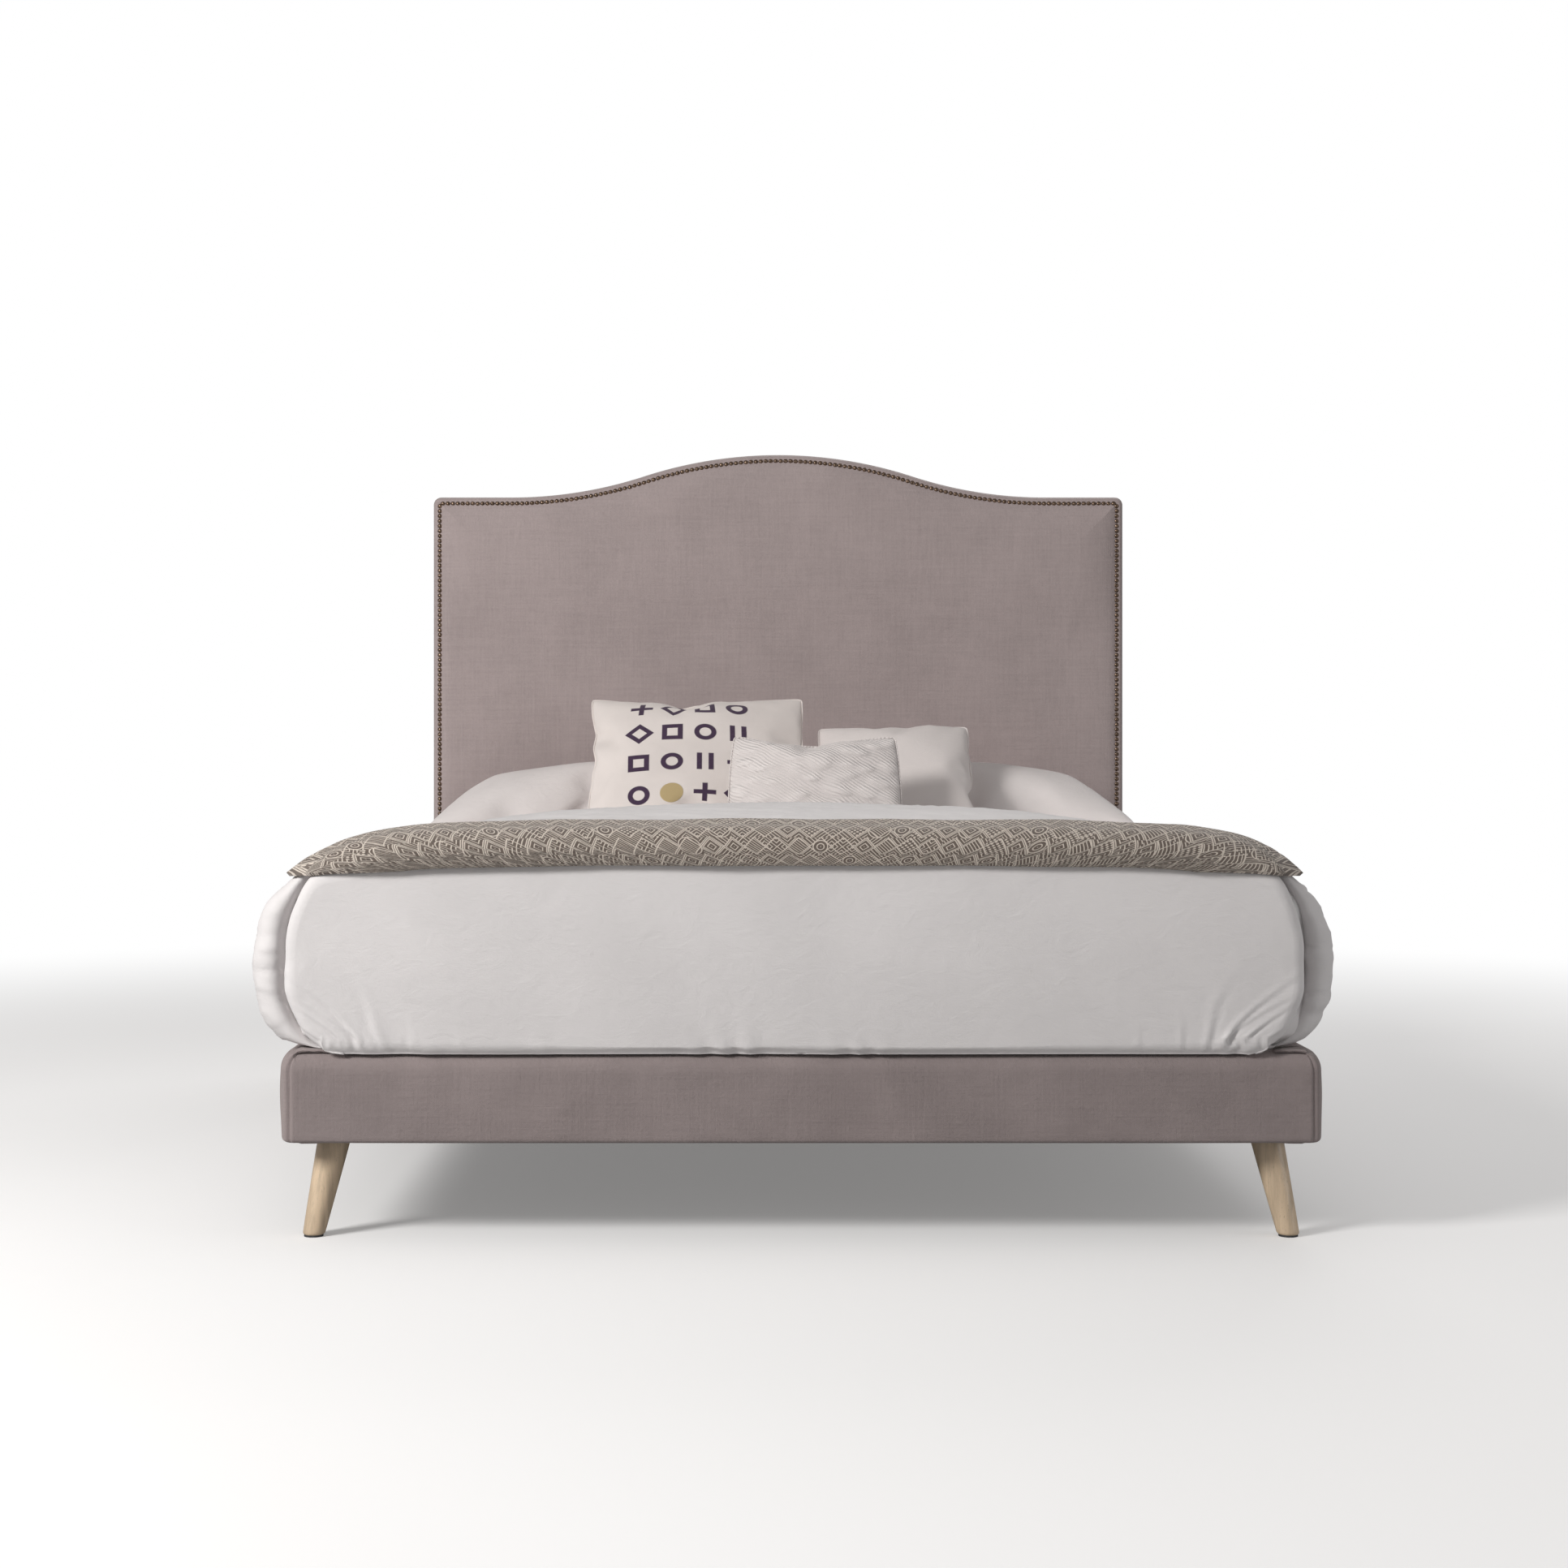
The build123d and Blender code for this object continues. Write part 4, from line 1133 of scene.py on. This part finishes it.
def flat_pad(name, width, height, ears):
    """Two layers of cloth sewn together round the edge, barely filled: x across, z up, y through."""
    spacing, filled = 0.0105, 0.020
    nx, nz = round(width / spacing), round(height / spacing)
    u, v = np.meshgrid(np.linspace(-1, 1, nx + 1), np.linspace(-1, 1, nz + 1), indexing="ij")
    x = u * width / 2 * (1 - ears * (1 - v**2) * np.abs(u) ** 3)
    z = v * height / 2 * (1 - ears * (1 - u**2) * np.abs(v) ** 3)
    lens = filled * np.sqrt(np.maximum(0, (1 - u**2) * (1 - v**2)))
    vertices = np.concatenate([points(x, way * lens, z).reshape(-1, 3) for way in (-1, 1)])
    index = np.arange(x.size).reshape(x.shape)
    rim = np.pad(np.zeros((nx - 1, nz - 1), bool), 1, constant_values=True)
    faces, uv = [], []
    for layer, order in ((index, 1), (np.where(rim, index, index + x.size), -1)):
        for i in range(nx):
            for j in range(nz):
                quad = [(i, j), (i + 1, j), (i + 1, j + 1), (i, j + 1)][::order]
                faces.append([layer[place] for place in quad])
                uv += [(a / nx * width, b / nz * height) for a, b in quad]
    used = np.unique(faces)
    piece = mesh_piece(name, vertices[used], np.searchsorted(used, faces).tolist(), uv)
    ring = [*index[:, 0], *index[-1, 1:], *index[::-1, -1][1:], *index[0, ::-1][1:-1]]
    piece["seam"] = np.searchsorted(used, ring).tolist()
    return piece



def inflate(pads, frames=24):
    """Blows the pads up as cloth, all at once, and keeps the result in their meshes."""
    scene = bpy.context.scene
    scene.frame_start, scene.frame_end = 1, frames
    for piece, pressure in pads:
        cloth = piece.modifiers.new("cloth", "CLOTH")
        s = cloth.settings
        s.quality = 7
        s.mass = 0.25
        s.tension_stiffness = s.compression_stiffness = 22
        s.shear_stiffness = 9
        s.bending_stiffness = 0.35
        s.tension_damping = s.compression_damping = 6
        s.air_damping = 2
        s.use_pressure = True
        s.uniform_pressure_force = pressure
        s.effector_weights.gravity = 0
        cloth.point_cache.frame_start, cloth.point_cache.frame_end = 1, frames
    for number in range(1, frames + 1):
        scene.frame_set(number)
    graph = bpy.context.evaluated_depsgraph_get()
    for piece, _ in pads:
        shaped = piece.evaluated_get(graph).to_mesh()
        places = np.empty(len(shaped.vertices) * 3)
        shaped.vertices.foreach_get("co", places)
        piece.modifiers.clear()
        piece.data.vertices.foreach_set("co", places)
        piece.data.update()
    scene.frame_set(1)


def points_of(piece):
    places = np.empty(len(piece.data.vertices) * 3)
    piece.data.vertices.foreach_get("co", places)
    return places.reshape(-1, 3)


def set_points(piece, places):
    piece.data.vertices.foreach_set("co", np.asarray(places, float).ravel())
    piece.data.update()


pads = {
    "sleeping_pillow_left": (0.800, 0.520, 7.0, -0.04),
    "sleeping_pillow_right": (0.800, 0.520, 7.0, -0.04),
    "printed_cushion": (0.500, 0.455, 4.0, -0.062),
    "square_cushion_cover": (0.375, 0.375, 4.0, -0.075),
    "embossed_cushion": (0.385, 0.285, 4.0, -0.050),
}
made = {name: flat_pad(name, w, h, ears) for name, (w, h, _, ears) in pads.items()}
for seed, piece in enumerate(made.values()):
    start = points_of(piece)
    start[:, 1] += perlin(start, 0.09, 60 + seed) * 0.0012
    set_points(piece, start)
inflate([(piece, pads[name][2]) for name, piece in made.items()])


def relaxed(piece, repeats):
    """Evens out the sharpest folds by moving each point towards the middle of its neighbours."""
    mesh = piece.data
    edges = np.empty(len(mesh.edges) * 2, int)
    mesh.edges.foreach_get("vertices", edges)
    a, b = edges.reshape(-1, 2).T
    places = points_of(piece)
    count = np.bincount(a, minlength=len(places)) + np.bincount(b, minlength=len(places))
    for _ in range(repeats):
        total = np.zeros_like(places)
        np.add.at(total, a, places[b])
        np.add.at(total, b, places[a])
        places = 0.45 * places + 0.55 * total / count[:, None]
    set_points(piece, places)


def fitted(places, size):
    """Scaled so that the pad's box has this size, centred at its middle."""
    low, high = places.min(0), places.max(0)
    return (places - (low + high) / 2) * (np.array(size) / (high - low))


def seam_cord(piece, name, radius, body, material):
    """The piping or sewn edge that follows a pad's seam."""
    places = points_of(piece)[list(piece["seam"])]
    smooth = (np.roll(places, 1, 0) + 2 * places + np.roll(places, -1, 0)) / 4
    line = resampled(np.vstack([smooth, smooth[:1]]), len(smooth) * 2)[:-1]
    return finish_piece(cord(name, line, radius), body, material)


def soften(piece):
    modifier = piece.modifiers.new("smooth", "SUBSURF")
    modifier.levels = modifier.render_levels = 1


def press_down(places, floor, give=0.012):
    """Keeps points above a level, with a soft bend where the pad meets it."""
    below = floor + give - places[:, 2]
    squeezed = np.where(below > 0, floor + give * np.exp(-below / give), places[:, 2])
    places[:, 2] = np.maximum(squeezed, floor)
    return places


def sleeping_pillow(side):
    name = "left" if side < 0 else "right"
    piece = made[f"sleeping_pillow_{name}"]
    node_low, node_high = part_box(f"pillow_{name}")
    width, thickness, height = 0.756, 0.180, 0.450
    x, y, z = fitted(points_of(piece), (width, thickness, height)).T
    # laid flat: its height runs along the bed, its thickness up
    laid = points(x, z, -y)
    u, v = x / (width / 2), z / (height / 2)
    laid[:, 2] *= np.where(laid[:, 2] < 0, 0.62, 1.30)
    # the head edge is propped against the headboard and the foot edge droops
    laid[:, 2] += 0.012 * v - 0.006 * np.maximum(0, np.abs(u) - 0.55) / 0.45
    middle_x = (node_low.x + node_high.x) / 2 - side * 0.006
    laid[:, 0] += middle_x
    laid[:, 1] += node_high.y - height / 2 - 0.002
    laid[:, 2] += SHEET_TOP + 0.052
    set_points(piece, press_down(laid, SHEET_TOP + 0.0015))
    soften(piece)
    body = f"pillow_{name}_body"
    finish_piece(piece, body, pillow_white, [f"pillow_{name}"])
    seam_cord(piece, f"pillow_piping_{name}", 0.0026, body, pillow_white)


def standing_cushion(name, node, size, lean, roll, material, cord_r):
    piece = made[name]
    low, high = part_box(node)
    places = fitted(points_of(piece), size)
    turn = Euler((math.radians(-lean), math.radians(roll), 0), "XYZ").to_matrix()
    places = places @ np.array(turn).T
    floor = SHEET_TOP + 0.0015
    places[:, 0] += (low.x + high.x) / 2
    places[:, 1] += low.y - places[:, 1].min()
    places[:, 2] += floor - 0.012 - places[:, 2].min()
    set_points(piece, press_down(places, floor, give=0.014))
    soften(piece)
    body = node + "_body"
    finish_piece(piece, body, material, [node])
    seam_cord(piece, name + "_seam", cord_r, body, material)


for name, piece in made.items():
    relaxed(piece, 7 if "pillow" in name else 2)
sleeping_pillow(-1)
sleeping_pillow(1)
width, height = pads["printed_cushion"][:2]
standing_cushion(
    "printed_cushion", "cushion_large", (0.462, 0.128, 0.424), 42, 0,
    printed_material(width, height), 0.0018,
)
standing_cushion(
    "square_cushion_cover", "cushion_square", (0.335, 0.110, 0.352), 45, -1.5,
    cotton_material("cotton_cushion", CUSHION_WHITE, 0.0010), 0.0022,
)
standing_cushion(
    "embossed_cushion", "cushion_small", (0.354, 0.098, 0.252), 22, 0,
    embossed_material(), 0.0016,
)

# ---- Finishes of the CAD parts that stay ----


def repaint(nodes, material):
    for node in nodes:
        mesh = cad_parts[node].data
        mesh.materials.clear()
        mesh.materials.append(material)


names = sorted(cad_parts)
posts = ["headboard_post_left", "headboard_post_right"]
lengthwise = ["side_rail_left", "side_rail_right", "centre_rail", "ledger_left", "ledger_right"]
crosswise = ["foot_rail", "head_rail", *[n for n in names if n.startswith(("cross_slat", "corner_block"))]]
fixings = ["leg_bolts", "leg_t_nuts", "frame_screws", "headboard_bolts", "headboard_screws", "headboard_t_nuts"]
repaint(["deck_cover"], base_taupe_painted_shade)
repaint(["dust_cover", "headboard_back_cover"], lining_material())
repaint([n for n in names if "foam" in n or n in ("mattress_core", "mattress_comfort_layer")], foam_material())
repaint(["mattress_cover"], ticking_material())
repaint(fixings, steel_material())
repaint(["leg_glides", "post_glides"], nylon_material())
repaint(lengthwise, plain_wood_material("pine_along", PINE, (1, 0.05, 1)))
repaint(crosswise, plain_wood_material("pine_across", PINE, (0.05, 1, 1)))
repaint(posts, plain_wood_material("pine_upright", PINE, (1, 1, 0.05)))
boards = ["deck_board_foot", "deck_board_head", "headboard_panel"]
repaint(boards, plain_wood_material("birch_ply", BIRCH_PLY, (0.06, 1, 1)))
for node in posts:
    ease_edges(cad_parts[node], 0.003, 3)

# ---- Floor, light and camera ----

floor = mesh_piece("studio_floor", [(-40, -40, 0), (40, -40, 0), (40, 40, 0), (-40, 40, 0)], [(0, 1, 2, 3)])
floor.data.materials.append(floor_material())

scene = bpy.context.scene
scene.view_settings.view_transform = "Standard"
scene.view_settings.look = "None"

world = bpy.data.worlds.new("studio")
scene.world = world
world.use_nodes = True
tree = world.node_tree
ambient = tree.nodes["Background"]
ambient.inputs["Color"].default_value = (1.0, 0.985, 0.975, 1)
ambient.inputs["Strength"].default_value = 0.31
backdrop = tree.nodes.new("ShaderNodeBackground")
backdrop.inputs["Color"].default_value = (1, 1, 1, 1)
paths = tree.nodes.new("ShaderNodeLightPath")
either = tree.nodes.new("ShaderNodeMixShader")
tree.links.new(paths.outputs["Is Camera Ray"], either.inputs[0])
tree.links.new(ambient.outputs[0], either.inputs[1])
tree.links.new(backdrop.outputs[0], either.inputs[2])
tree.links.new(either.outputs[0], tree.nodes["World Output"].inputs["Surface"])


def softbox(name, place, target, size, power, tint=(1, 1, 1)):
    light = bpy.data.lights.new(name, "AREA")
    light.shape = "RECTANGLE"
    light.size, light.size_y = size
    light.energy = power
    light.color = tint
    lamp = bpy.data.objects.new(name, light)
    lamp.location = place
    lamp.rotation_euler = (Vector(target) - Vector(place)).to_track_quat("-Z", "Y").to_euler()
    scene.collection.objects.link(lamp)


softbox("key", (-3.6, -3.5, 2.8), (-0.1, 0.3, 0.7), (1.3, 1.3), 205, (1.0, 0.985, 0.965))
softbox("side_fill", (3.4, -1.9, 0.8), (0.7, -0.9, 0.4), (1.6, 1.2), 13)
softbox("back_fill", (1.5, 3.5, 3.2), (0, 0.5, 0.5), (2.5, 1.5), 45)

# The view is from the foot, square on. The camera's distance, height and side offset come from
# the sizes of the foot face and the headboard as the picture shows them.
CAMERA_DISTANCE = 3.716
CAMERA_HEIGHT = 0.762
CAMERA_SIDE = -0.103
camera_data = bpy.data.cameras.new("camera")
camera_data.lens = 55.81
camera_data.sensor_width = 36
camera_data.shift_x = 0.0316
camera_data.shift_y = -0.0259
camera = bpy.data.objects.new("camera", camera_data)
camera.location = (CAMERA_SIDE, along(-CAMERA_DISTANCE), CAMERA_HEIGHT)
camera.rotation_euler = (math.radians(90), 0, 0)
scene.collection.objects.link(camera)
scene.camera = camera
